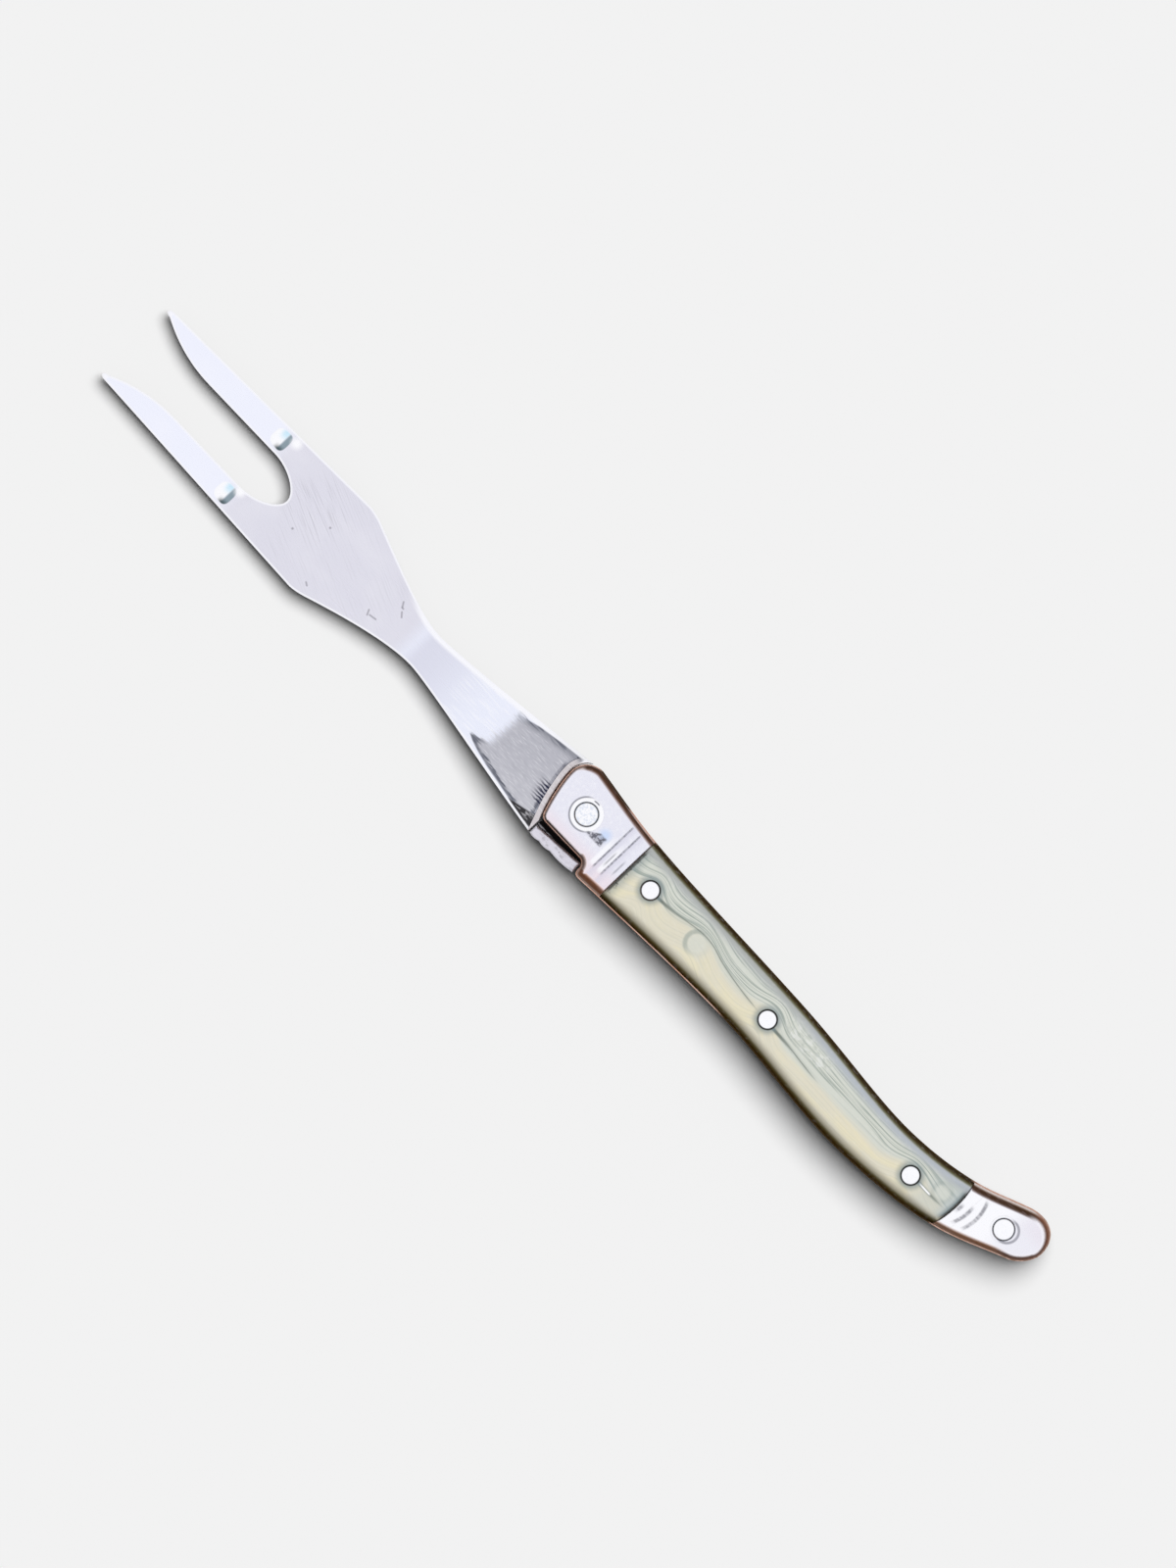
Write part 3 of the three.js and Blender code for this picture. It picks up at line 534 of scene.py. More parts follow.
class Board:
    """A node tree that nodes are added to."""

    MIX_FACTOR = 0
    MIX_UNDER = 6
    MIX_TOP = 7
    MIX_RESULT = 2

    def __init__(self, tree: bpy.types.NodeTree) -> None:
        """Starts with an empty tree."""
        self.tree = tree
        tree.nodes.clear()

    def node(self, kind: str, settings: dict | None = None, sockets: dict | None = None) -> bpy.types.Node:
        """Adds a node, sets it up, and then fills or links its sockets.

        Args:
            kind: The node's type.
            settings: The node's own settings, with a ramp's stops as pairs of place and colour.
            sockets: A value or a signal for each input, by name or number.

        Returns:
            The node.
        """
        made = self.tree.nodes.new(kind)
        for key, value in (settings or {}).items():
            if key == "stops":
                self._set_stops(made.color_ramp, value)
            else:
                setattr(made, key, value)
        for key, value in (sockets or {}).items():
            if isinstance(value, Signal):
                self.tree.links.new(value.socket, made.inputs[key])
            else:
                made.inputs[key].default_value = value
        return made

    @staticmethod
    def _set_stops(ramp: bpy.types.ColorRamp, colours: Stops) -> None:
        """Sets a colour ramp's stops, in order from 0 to 1."""
        while len(ramp.elements) < len(colours):
            ramp.elements.new(1.0)
        for element, (place, colour) in zip(ramp.elements, colours):
            element.position = place
            element.color = colour

    def signal(
        self, kind: str, output: int | str, settings: dict | None = None, sockets: dict | None = None
    ) -> Signal:
        """Adds a node and gives one of its outputs."""
        return Signal(self, self.node(kind, settings, sockets).outputs[output])

    def parts(self, vector: Signal) -> tuple[Signal, Signal, Signal]:
        """Splits a vector into its three parts."""
        split = self.node("ShaderNodeSeparateXYZ", None, {0: vector})
        return tuple(Signal(self, output) for output in split.outputs)


class Paint(Board):
    """One material, with the plan's coordinates and the usual ways to colour a surface."""

    def __init__(self, name: str, datum: Vector, base: Colour) -> None:
        """Starts a material of one colour, whose coordinates are millimetres from a datum.

        Args:
            name: The material's name.
            datum: Where the coordinates start, in metres.
            base: The colour that other colours are laid over.
        """
        self.colour: Tone = base
        self.material = bpy.data.materials.new(name)
        self.material.use_nodes = True
        super().__init__(self.material.node_tree)
        place = self.node("ShaderNodeTexCoord")
        shift = tuple(-value / MM for value in datum)
        sockets = {0: Signal(self, place.outputs["Object"]), 1: (1 / MM,) * 3, 2: shift}
        plan = self.signal("ShaderNodeVectorMath", 0, {"operation": "MULTIPLY_ADD"}, sockets)
        self.x, self.y, self.z = self.parts(plan)

    def field(self, name: str) -> Signal:
        """Reads a value that the mesh carries at its corners."""
        settings = {"attribute_type": "GEOMETRY", "attribute_name": name}
        return self.signal("ShaderNodeAttribute", "Fac", settings)

    def noise(self, length: float, width: float, detail: float = 2.0, across: Signal | None = None) -> Signal:
        """Cloudy noise around a half, drawn out along the fork.

        Args:
            length: How long its features are along the fork.
            width: How wide they are across it.
            detail: How many finer layers are added.
            across: What is measured across the fork instead of y.

        Returns:
            The noise.
        """
        sockets = {0: self.x / length, 1: (self.y if across is None else across) / width, 2: self.z / width}
        place = self.signal("ShaderNodeCombineXYZ", 0, None, sockets)
        return self.signal("ShaderNodeTexNoise", 0, None, {"Vector": place, "Scale": 1.0, "Detail": detail})

    def slanted_noise(self, degrees: float, length: float, width: float) -> Signal:
        """Noise drawn out along a slanted direction in the plan."""
        turn = math.radians(degrees)
        forward = self.x * math.cos(turn) + self.y * math.sin(turn)
        across = self.y * math.cos(turn) - self.x * math.sin(turn)
        place = self.signal("ShaderNodeCombineXYZ", 0, None, {0: forward / length, 1: across / width})
        return self.signal("ShaderNodeTexNoise", 0, None, {"Vector": place, "Scale": 1.0, "Detail": 2.0})

    def from_point(self, centre: Pair) -> Signal:
        """The distance from a point of the plan."""
        return ((self.x - centre[0]) ** 2 + (self.y - centre[1]) ** 2) ** 0.5

    def from_stroke(self, start: Pair, end: Pair) -> Signal:
        """The distance from a short straight stroke in the plan."""
        run = (end[0] - start[0], end[1] - start[1])
        length_squared = run[0] ** 2 + run[1] ** 2
        away_x = self.x - start[0]
        away_y = self.y - start[1]
        share = ((away_x * run[0] + away_y * run[1]) / length_squared).larger(0.0).smaller(1.0)
        return ((away_x - share * run[0]) ** 2 + (away_y - share * run[1]) ** 2) ** 0.5

    def over(self, under: Tone, mask: Number, top: Tone) -> Signal:
        """Lays one colour over another where a mask is 1."""
        sockets = {self.MIX_FACTOR: mask, self.MIX_UNDER: under, self.MIX_TOP: top}
        return self.signal("ShaderNodeMix", self.MIX_RESULT, {"data_type": "RGBA"}, sockets)

    def lay(self, mask: Number, top: Tone) -> None:
        """Lays a colour over the material's colour where a mask is 1."""
        self.colour = self.over(self.colour, mask, top)

    def ramp(self, value: Signal, colours: Stops) -> Signal:
        """Turns a value from 0 to 1 into a colour between stops."""
        return self.signal("ShaderNodeValToRGB", "Color", {"stops": colours}, {"Fac": value})

    def finish(self, height: Signal, depth: float, **shader: Number) -> Material:
        """Joins the colour, the relief and the shader's other values into the material.

        Args:
            height: The fine relief, from 0 to 1.
            depth: How deep the relief is, in millimetres.
            shader: The shader's other values, such as roughness and metallic.

        Returns:
            The finished material.
        """
        sockets = {"Strength": 1.0, "Distance": depth * MM, "Height": height}
        relief = self.signal("ShaderNodeBump", "Normal", None, sockets)
        values = {SHADER_SOCKETS[key]: value for key, value in shader.items()}
        self.surface({"Normal": relief, **values})
        return self.material

    def surface(self, sockets: dict[str, Number]) -> None:
        """Adds the Principled shader with the material's colour, and the output."""
        sockets = {"Base Color": self.colour, **sockets}
        shader = self.signal("ShaderNodeBsdfPrincipled", "BSDF", None, sockets)
        self.node("ShaderNodeOutputMaterial", None, {"Surface": shader})


# The handle's plan


@dataclass(frozen=True)
class Fastener:
    """A pin or rivet that runs through the whole handle."""

    name: str
    place: Pair
    diameter: float


@dataclass(frozen=True)
class HandlePlan:
    """The outline of the handle, which its liners, bolsters and scales share."""

    pin_to_front_joint: float = 11.15
    scale_length: float = 76.15
    rear_bolster_length: float = 16.2
    rear_joint_bulge: float = 0.7
    cheek: Pair = (3.2, -6.82)
    front_belly: float = 5.08
    front_spine: float = 7.95
    middle_belly: float = 4.03
    waist_behind_front_joint: float = 28.55
    waist_spine: float = 6.78
    swell_ahead_of_rear_joint: float = 19.9
    swell_spine: float = 8.06
    hollow_ahead_of_rear_joint: float = 13.0
    hollow_belly: float = 2.65
    rear_belly: float = 4.58
    rear_spine: float = 5.47
    tail_belly: float = 8.1
    tail_belly_round: float = 6.9
    tail_belly_corner: float = 11.0
    tail_spine: float = 0.27
    tail_spine_round: float = 3.2
    tail_spine_corner: float = -1.3
    tail_drop: float = 4.2
    nose_ahead_of_pin: float = 6.9
    nose_belly: float = 3.2
    nose_lean: float = 0.3
    nose_setback_at_notch: float = 2.2
    notch_floor: float = 5.77
    notch_behind_pin: float = 5.45
    notch_depth: float = 2.48
    notch_round: float = 1.2
    notch_corner: float = 1.0
    front_pin: float = 3.84
    rear_pin: float = 3.5
    rear_pin_to_tail: float = 7.3
    rivet: float = 3.05
    front_rivet_to_joint: float = 5.05
    middle_rivet_to_joint: float = 33.55
    rear_rivet_to_joint: float = 8.03
    front_rivet_shift: float = -0.42
    rivet_shift: float = 0.35
    long_steps: int = 150
    short_steps: int = 18
    corner_steps: int = 9

    @property
    def front_joint(self) -> float:
        """Where the front bolsters meet the scales."""
        return -self.pin_to_front_joint

    @property
    def rear_joint(self) -> float:
        """Where the scales meet the rear bolsters, at the edges."""
        return self.front_joint - self.scale_length

    @property
    def tail(self) -> float:
        """The last point of the handle."""
        return self.rear_joint - self.rear_bolster_length

    @property
    def notch_front(self) -> float:
        """The front corner of the notch."""
        return self.nose_ahead_of_pin - self.nose_setback_at_notch

    @property
    def notch_spine(self) -> float:
        """The spine just behind the notch."""
        return self.notch_floor + self.notch_depth

    def belly(self) -> Points:
        """The belly, from the tail to the cheek.

        Returns:
            One row for each point.
        """
        stations = plan_points(
            (self.tail + self.tail_belly_round, -self.tail_belly),
            (self.rear_joint, -self.rear_belly),
            (self.rear_joint + self.hollow_ahead_of_rear_joint, -self.hollow_belly),
            ((self.front_joint + self.rear_joint) / 2, -self.middle_belly),
            (self.front_joint, -self.front_belly),
            self.cheek,
        )
        return smooth_through(stations, self.long_steps)

    def spine(self) -> Points:
        """The spine, from the notch to the tail.

        Returns:
            One row for each point.
        """
        stations = plan_points(
            (-self.notch_behind_pin - self.notch_corner, self.notch_spine),
            (self.front_joint, self.front_spine),
            (self.front_joint - self.waist_behind_front_joint, self.waist_spine),
            (self.rear_joint + self.swell_ahead_of_rear_joint, self.swell_spine),
            (self.rear_joint, self.rear_spine),
            (self.tail + self.tail_spine_round, self.tail_spine),
        )
        return smooth_through(stations, self.long_steps)

    def nose(self) -> list[Points]:
        """The nose, from the cheek to the floor of the notch, as the round, the lean and the corner.

        Returns:
            The three runs.
        """
        cheek, front, lean, corner, floor = plan_points(
            self.cheek,
            (self.nose_ahead_of_pin, -self.nose_belly),
            (self.nose_ahead_of_pin, self.nose_lean),
            (self.notch_front, self.notch_floor),
            (self.notch_front - self.notch_corner, self.notch_floor),
        )
        lean_end = corner + (lean - corner) * self.notch_corner / np.linalg.norm(lean - corner)
        return [
            round_corner(cheek, np.array((front[0], cheek[1])), front, self.short_steps),
            round_corner(front, lean, lean_end, self.short_steps),
            round_corner(lean_end, corner, floor, self.corner_steps),
        ]

    def notch(self) -> list[Points]:
        """The notch, from its floor to the spine behind it.

        Returns:
            The floor, its corner, the rear wall and the corner above it.
        """
        rear = -self.notch_behind_pin
        floor_front, floor_rear, foot, wall_foot, wall_top, top, spine_front = plan_points(
            (self.notch_front - self.notch_corner, self.notch_floor),
            (rear + self.notch_round, self.notch_floor),
            (rear, self.notch_floor),
            (rear, self.notch_floor + self.notch_round),
            (rear, self.notch_spine - self.notch_corner),
            (rear, self.notch_spine),
            (rear - self.notch_corner, self.notch_spine),
        )
        return [
            straight(floor_front, floor_rear, self.short_steps),
            round_corner(floor_rear, foot, wall_foot, self.corner_steps),
            straight(wall_foot, wall_top, 1),
            round_corner(wall_top, top, spine_front, self.corner_steps),
        ]

    def tail_end(self) -> list[Points]:
        """The rounded tail, from the spine to the belly.

        Returns:
            The round on the spine and the one on the belly.
        """
        spine_end, last, belly_end = plan_points(
            (self.tail + self.tail_spine_round, self.tail_spine),
            (self.tail, -self.tail_drop),
            (self.tail + self.tail_belly_round, -self.tail_belly),
        )
        return [
            round_corner(spine_end, np.array((self.tail, self.tail_spine_corner)), last, self.short_steps),
            round_corner(last, np.array((self.tail, -self.tail_belly_corner)), belly_end, self.short_steps),
        ]

    def runs(self) -> list[Points]:
        """The outline's runs, counterclockwise: the belly, nose, notch, spine and tail."""
        return [self.belly(), *self.nose(), *self.notch(), self.spine(), *self.tail_end()]

    def outline(self) -> Points:
        """The whole outline."""
        return chain(*self.runs())

    def rear_joint_at(self, y: Values) -> Values:
        """The x of the rear joint, which bulges towards the tail."""
        half_width = (self.rear_belly + self.rear_spine) / 2
        middle = (self.rear_spine - self.rear_belly) / 2
        return self.rear_joint - self.rear_joint_bulge * (1 - ((y - middle) / half_width) ** 2)

    def on_midline(self, x: float, shift: float) -> Pair:
        """A place on the handle's middle line, moved across it by a shift."""
        middle = (height_along(self.belly(), x) + height_along(self.spine(), x)) / 2
        return (x, float(middle) + shift)

    def fasteners(self) -> list[Fastener]:
        """The pins and rivets, from the front.

        Returns:
            The name, place and diameter of each.
        """
        front = self.on_midline(self.front_joint - self.front_rivet_to_joint, self.front_rivet_shift)
        middle = self.on_midline(self.front_joint - self.middle_rivet_to_joint, self.rivet_shift)
        rear = self.on_midline(self.rear_joint + self.rear_rivet_to_joint, self.rivet_shift)
        tail = self.on_midline(self.tail + self.rear_pin_to_tail, self.rivet_shift)
        return [
            Fastener("front_bolster_pin", (0.0, 0.0), self.front_pin),
            Fastener("front_rivet", front, self.rivet),
            Fastener("middle_rivet", middle, self.rivet),
            Fastener("rear_rivet", rear, self.rivet),
            Fastener("rear_bolster_pin", tail, self.rear_pin),
        ]


@dataclass(frozen=True)
class Layers:
    """The thicknesses of the handle's layers, and their levels up from its middle plane."""

    core: float = 2.4
    liner: float = 0.8
    cover: float = 2.8

    @property
    def liner_level(self) -> float:
        """The lower face of the upper liner."""
        return self.core / 2

    @property
    def cover_level(self) -> float:
        """The lower face of the bolsters and scales."""
        return self.liner_level + self.liner

    @property
    def face_level(self) -> float:
        """The outer face of the bolsters and scales."""
        return self.cover_level + self.cover


# Finishes


@dataclass(frozen=True)
class BladeSteel:
    """Satin steel of the fork, with painted highlights and shade, and a coarser ground zone on the shank that
    is partly a painted reflection.
    """

    plate: Colour = srgb(224, 223, 233)
    tine: Colour = srgb(241, 243, 254)
    neck_dark: Colour = srgb(221, 222, 235)
    neck_light: Colour = srgb(236, 239, 251)
    edge: Colour = srgb(250, 250, 254)
    # Darker grey of the ground zone: partly the coarser grind, partly a painted reflection of the shank's
    # slope.
    ground: Colour = srgb(187, 187, 195)
    streak: Colour = srgb(106, 109, 120)
    hatch: Colour = srgb(44, 46, 70)
    land: Colour = srgb(212, 206, 208)
    heel_dark: Colour = srgb(62, 61, 63)
    heel_light: Colour = srgb(172, 171, 174)
    bump_shade: Colour = srgb(144, 160, 169)
    bump_dark: Colour = srgb(62, 78, 82)
    bump_light: Colour = srgb(210, 238, 252)
    scratch: Colour = srgb(150, 148, 156)
    tine_tone: float = 77.0
    scratches: tuple[tuple[Pair, Pair], ...] = (
        ((45.9, -2.3), (45.4, -1.5)),
        ((45.4, -1.5), (45.1, -1.45)),
        ((44.9, -0.95), (44.3, -0.3)),
        ((48.9, 2.7), (48.5, 3.5)),
        ((48.2, 3.2), (47.0, 3.0)),
        ((59.3, 7.05), (58.8, 7.35)),
    )
    pits: tuple[Pair, ...] = ((63.0, -1.95), (67.2, 2.6))
    smears: tuple[Pair, ...] = ((76.8, -7.5), (77.5, 4.57))

    def make(self, datum: Vector) -> Material:
        """Mixes the finish for the blade.

        Args:
            datum: The front pin's axis, in metres.

        Returns:
            The finished material.
        """
        paint = Paint("satin_blade_steel", datum, self.plate)
        x, y = paint.x, paint.y
        edge = paint.field("edge_mm")
        ground = paint.field("ground_mm")
        land = paint.field("land_mm")
        brush = paint.noise(9.0, 0.3)
        fine_brush = paint.noise(4.0, 0.16)
        cloud = paint.noise(9.0, 6.0)
        shank = x.rise(42.6, 39.0)
        # Past the tines' root the steel is painted brighter: a painted reflection of the tines' slight bend.
        paint.lay(x.rise(self.tine_tone - 1.0, self.tine_tone + 3.5), self.tine)
        paint.lay(cloud.rise(0.45, 0.75) * 0.12, WHITE)
        neck = paint.over(self.neck_dark, x.rise(37.5, 23.0), self.neck_light)
        neck = paint.over(neck, x.line_at(41.0, 3.2) * 0.8, self.neck_light)
        neck = paint.over(neck, brush.rise(0.45, 0.75) * x.rise(31.0, 28.5) * 0.5, WHITE)
        paint.lay(shank, neck)
        paint.lay(self.slanted_lines(paint), self.scratch)
        # Painted highlights along the bevels of every edge, and a wider painted highlight along the belly of
        # the neck and shank.
        paint.lay(edge.rise(0.45, 0.15), self.edge)
        belly_bevel_highlight = edge.rise(1.2, 0.45) * y.rise(0.0, -1.5) * x.rise(47.0, 41.0)
        paint.lay(belly_bevel_highlight, self.edge)
        self.ground_zone(paint, ground, land, brush, fine_brush)
        self.heel(paint, edge)
        on_land = land.rise(1.08, 0.98) * y.rise(-6.0, -4.2)
        paint.lay(on_land, self.land)
        paint.lay(on_land * brush.rise(0.5, 0.7) * 0.3, WHITE)
        self.bumps(paint)
        self.marks(paint)
        roughness = 0.26 + ground.rise(-0.2, 0.5) * 0.14 + (brush - 0.5) * 0.1
        return paint.finish(brush + fine_brush, 0.006, roughness=roughness, metallic=1.0)

    def slanted_lines(self, paint: Paint) -> Signal:
        """Fine slanted grinding lines on the body of the head."""
        lines = paint.slanted_noise(158.0, 7.0, 0.22).rise(0.5, 0.72)
        place = paint.from_point((67.0, -2.4)).rise(7.0, 2.0)
        return lines * (place * 0.26 + paint.x.within(45.0, 70.0, 2.0) * 0.09)

    def ground_zone(
        self, paint: Paint, ground: Signal, land: Signal, brush: Signal, fine_brush: Signal
    ) -> None:
        """Lays the coarse ground zone of the shank, whose darker tone, brighter part and dark bands are
        partly the grind and partly a painted reflection of the shank's slope.

        Args:
            paint: The paint.
            ground: The distance inside the zone's outline.
            land: The distance ahead of the handle's nose.
            brush: Brush lines along the fork.
            fine_brush: Finer brush lines.
        """
        x, y = paint.x, paint.y
        front = x.rise(17.0, 19.6) * y.rise(4.3, 3.0)
        ragged = ground + ((brush - 0.5) * 2.6 + (fine_brush - 0.5) * 1.6) * front
        zone = ragged.rise(-0.1, 0.2) * (1 - front) + ragged.rise(-0.8, 1.7) * front
        # The zone's colour is partly a painted reflection of the shank's slope.
        toned = paint.over(self.ground, fine_brush.rise(0.45, 0.8) * 0.35, WHITE)
        toned = paint.over(toned, brush.rise(0.5, 0.25) * 0.14, self.streak)
        toned = paint.over(toned, (y * 0.5 - x * 0.25).rise(-4.0, 2.5) * 0.14, WHITE)
        upper = y.rise(-1.8, -3.4) * ground.rise(1.7, 0.1)
        toned = paint.over(toned, upper * (0.6 + brush.rise(0.46, 0.6) * 0.4), self.streak)
        blotch = paint.noise(3.2, 0.3).rise(0.42, 0.62)
        lower = y.rise(3.6, 4.4) * (ground - blotch * 0.35).rise(0.8, 0.3)
        toned = paint.over(toned, lower * (0.7 + blotch * 0.3), self.streak)
        paint.lay(zone, toned)
        wobble = paint.noise(0.9, 0.5)
        strokes = (y * 11.4 + wobble * 5.0).sine().rise(-0.6, 0.5)
        reach = land.rise(3.8, 1.5) * land.rise(1.0, 1.15) * y.within(0.9, 4.6, 0.4)
        paint.lay(strokes * reach, self.hatch)
        # Painted shade along the step at the edge of the land, in the hatch strokes' colour.
        land_step_shade = land.line_at(1.25, 0.45) * y.within(-3.2, 4.9, 0.6) * (0.3 + wobble.rise(0.4, 0.65) * 0.25)
        paint.lay(land_step_shade, self.hatch)

    def heel(self, paint: Paint, edge: Signal) -> None:
        """Lays the dark mottled wedge of the heel, and a painted highlight along the bevel of the shank's
        spine.

        Args:
            paint: The paint.
            edge: The distance from the outline.
        """
        x, y = paint.x, paint.y
        below = (y - (5.95 + (x - 4.65) * 0.235)).rise(-0.12, 0.15)
        wedge = below * x.rise(12.6, 9.5) * edge.rise(0.3, 0.45)
        mottle = paint.noise(1.0, 0.4)
        tone = paint.over(self.heel_dark, mottle.rise(0.5, 0.72), self.heel_light)
        paint.lay(wedge, tone)
        spine_bevel_highlight = edge.rise(0.44, 0.3) * y.rise(2.5, 3.5) * x.rise(27.0, 21.0)
        paint.lay(spine_bevel_highlight, self.edge)

    def bumps(self, paint: Paint) -> None:
        """Paints light and shade onto the bumps of the tines: painted highlights towards the tips and painted
        shade towards the handle.

        Args:
            paint: The paint.
        """
        x = paint.x
        across = paint.field("bump_across")
        bump = paint.field("bump_rise").rise(0.0, 0.28)
        behind = x.rise(78.75, 78.3)
        paint.lay(bump * (1 - behind), WHITE)
        sky = across.rise(0.2, -0.7) * x.rise(80.3, 79.2)
        paint.lay(bump * (1 - behind) * sky, self.bump_light)
        paint.lay(bump * behind, self.bump_shade)
        foot = across.rise(0.25, 0.95) * x.rise(79.5, 78.5)
        paint.lay(bump * foot, self.bump_dark)

    def marks(self, paint: Paint) -> None:
        """Adds the few scratches and pits of a used fork, and two painted highlights by the bumps."""
        for start, end in self.scratches:
            paint.lay(paint.from_stroke(start, end).rise(0.24, 0.04) * 0.7, self.scratch)
        for pit in self.pits:
            paint.lay(paint.from_point(pit).rise(0.3, 0.1) * 0.7, self.scratch)
        # Painted highlights: soft white spots by the bumps.
        for highlight_spot in self.smears:
            paint.lay(paint.from_point(highlight_spot).rise(1.5, 0.2), WHITE)


@dataclass(frozen=True)
class BolsterSteel:
    """Polished steel faces with rounded rims in copper-brown, painted with highlights and shade."""

    face: Colour = srgb(234, 234, 244)
    bright: Colour = srgb(252, 252, 255)
    blush: Colour = srgb(240, 222, 229)
    cool: Colour = srgb(206, 222, 250)
    pencil: Colour = srgb(138, 138, 148)
    scuff: Colour = srgb(112, 112, 122)
    lilac: Colour = srgb(212, 210, 226)
    amber: Colour = srgb(142, 88, 44)
    # Each rim ramp runs from the outer edge to the face: copper-brown mixed with painted highlights and
    # painted shade of the rounded rim.
    belly_rim: Stops = stops(
        (0.0, 62, 36, 18), (0.3, 66, 38, 19), (0.48, 84, 54, 37), (0.64, 116, 92, 82), (0.8, 176, 162, 163),
        (0.95, 230, 225, 232), (1.0, 234, 231, 239),
    )
    rear_belly_rim: Stops = stops(
        (0.0, 236, 226, 223), (0.13, 216, 201, 195), (0.25, 122, 100, 86), (0.36, 68, 46, 31),
        (0.66, 74, 53, 40), (0.8, 112, 96, 88), (0.94, 210, 204, 209), (1.0, 240, 238, 246),
    )
    spine_rim: Stops = stops(
        (0.0, 232, 202, 192), (0.1, 204, 169, 154), (0.22, 138, 98, 78), (0.42, 120, 76, 52),
        (0.62, 116, 76, 54), (0.76, 150, 118, 104), (0.9, 226, 200, 196), (1.0, 248, 234, 236),
    )
    rear_spine_rim: Stops = stops(
        (0.0, 178, 140, 118), (0.25, 158, 116, 92), (0.5, 138, 101, 80), (0.66, 170, 146, 134),
        (0.84, 224, 212, 210), (1.0, 248, 244, 247),
    )
    tail_rim: Stops = stops(
        (0.0, 168, 128, 108), (0.2, 122, 80, 60), (0.4, 104, 70, 54), (0.58, 190, 178, 178),
        (0.74, 244, 242, 248), (1.0, 246, 244, 250),
    )
    nose_rim: Stops = stops(
        (0.0, 176, 146, 132), (0.3, 164, 136, 124), (0.6, 216, 203, 201), (1.0, 236, 228, 234),
    )
    front_grooves: tuple[float, ...] = (-6.85, -8.65)
    rear_marks: tuple[Triple, ...] = ((-88.4, -0.4, 0.9), (-89.9, -1.2, 2.5), (-91.6, -3.6, 2.0))
    short_marks: Pair = (-7.95, -10.0)

    def make(self, datum: Vector, plan: HandlePlan) -> Material:
        """Mixes the finish for the bolsters of a handle.

        Args:
            datum: The front pin's axis, in metres.
            plan: The handle's plan.

        Returns:
            The finished material.
        """
        paint = Paint("polished_bolster_steel", datum, self.face)
        x, y = paint.x, paint.y
        rim = paint.field("rim_share")
        grain = paint.noise(0.5, 0.5)
        brush = paint.noise(3.0, 0.4)
        rear = x.rise(-60.0, -80.0)
        paint.lay(rear, self.bright)
        paint.lay(grain.rise(0.45, 0.7) * 0.3, WHITE)
        # A painted copper reflection on the faces beside the notch and near the tail on the belly side.
        blush = y.rise(2.4, 5.6) * (1 - rear) + y.rise(-3.5, -6.0) * rear * x.rise(-96.0, -101.0) * 0.5
        paint.lay(blush * 0.6, self.blush)
        paint.lay(x.rise(-94.0, -99.0) * 0.35, self.lilac)
        self.front_pin_ring(paint)
        self.scuffs(paint, grain)
        self.grooves(paint, brush)
        self.rear_pin_ring(paint, plan.fasteners()[-1])
        spine_side = (y - paint.field("middle_mm")).rise(-0.6, 0.6)
        belly = paint.over(paint.ramp(rim, self.belly_rim), rear, paint.ramp(rim, self.rear_belly_rim))
        # A painted pale highlight on the outermost belly rim of the front bolster near the joint.
        outer = x.rise(-2.5, -7.0) * (1 - rear) * rim.rise(0.2, 0.06) * 0.8
        belly = paint.over(belly, outer, self.spine_rim[0][1])
        spine = paint.over(paint.ramp(rim, self.spine_rim), rear, paint.ramp(rim, self.rear_spine_rim))
        spine = paint.over(spine, x.within(-98.0, -91.5, 2.0) * rim.rise(0.7, 0.4) * 0.6, self.amber)
        rims = paint.over(belly, spine_side, spine)
        rims = paint.over(rims, x.rise(-97.0, -99.5), paint.ramp(rim, self.tail_rim))
        rims = paint.over(rims, paint.field("rim_mm").rise(0.95, 0.65), paint.ramp(rim, self.nose_rim))
        # Faint streaks of the painted copper reflection on the rims.
        rims = paint.over(rims, brush.rise(0.5, 0.75) * 0.08, self.blush)
        paint.lay(rim.rise(1.0, 0.94), rims)
        roughness = 0.22 + grain * 0.12
        metallic = 0.3 + rim.rise(0.35, 0.85) * 0.7
        return paint.finish(grain + brush, 0.004, roughness=roughness, metallic=metallic, specular=0.0)

    def front_pin_ring(self, paint: Paint) -> None:
        """Lays the bright spot face round the front pin, with painted shade along parts of its thin border.
        """
        radius = paint.from_point((0.0, 0.0))
        paint.lay(radius.rise(2.95, 2.7), WHITE)
        lower = (paint.x * 0.8 + paint.y * 0.6 + 0.6).rise(-0.6, 1.2)
        paint.lay(radius.line_at(2.86, 0.24) * lower * 0.8, self.pencil)
        upper = paint.from_point((0.15, -2.55)).rise(0.75, 0.35)
        paint.lay(radius.line_at(2.55, 0.2) * upper, self.pencil)

    def scuffs(self, paint: Paint, grain: Signal) -> None:
        """Adds the grainy scuffed wedge behind the front pin and the cool patch beside it."""
        x, y = paint.x, paint.y
        paint.lay(paint.from_point((-4.6, 0.2)).rise(1.7, 0.2) * 0.9, self.cool)
        top = (1.9 + (x + 1.9) * 0.7).larger(0.5)
        wedge = x.within(-5.3, -2.0, 0.25) * (y - top).rise(-0.25, 0.2) * y.rise(2.35, 1.95)
        paint.lay(wedge * (0.4 + grain.rise(0.4, 0.6) * 0.6), self.scuff)

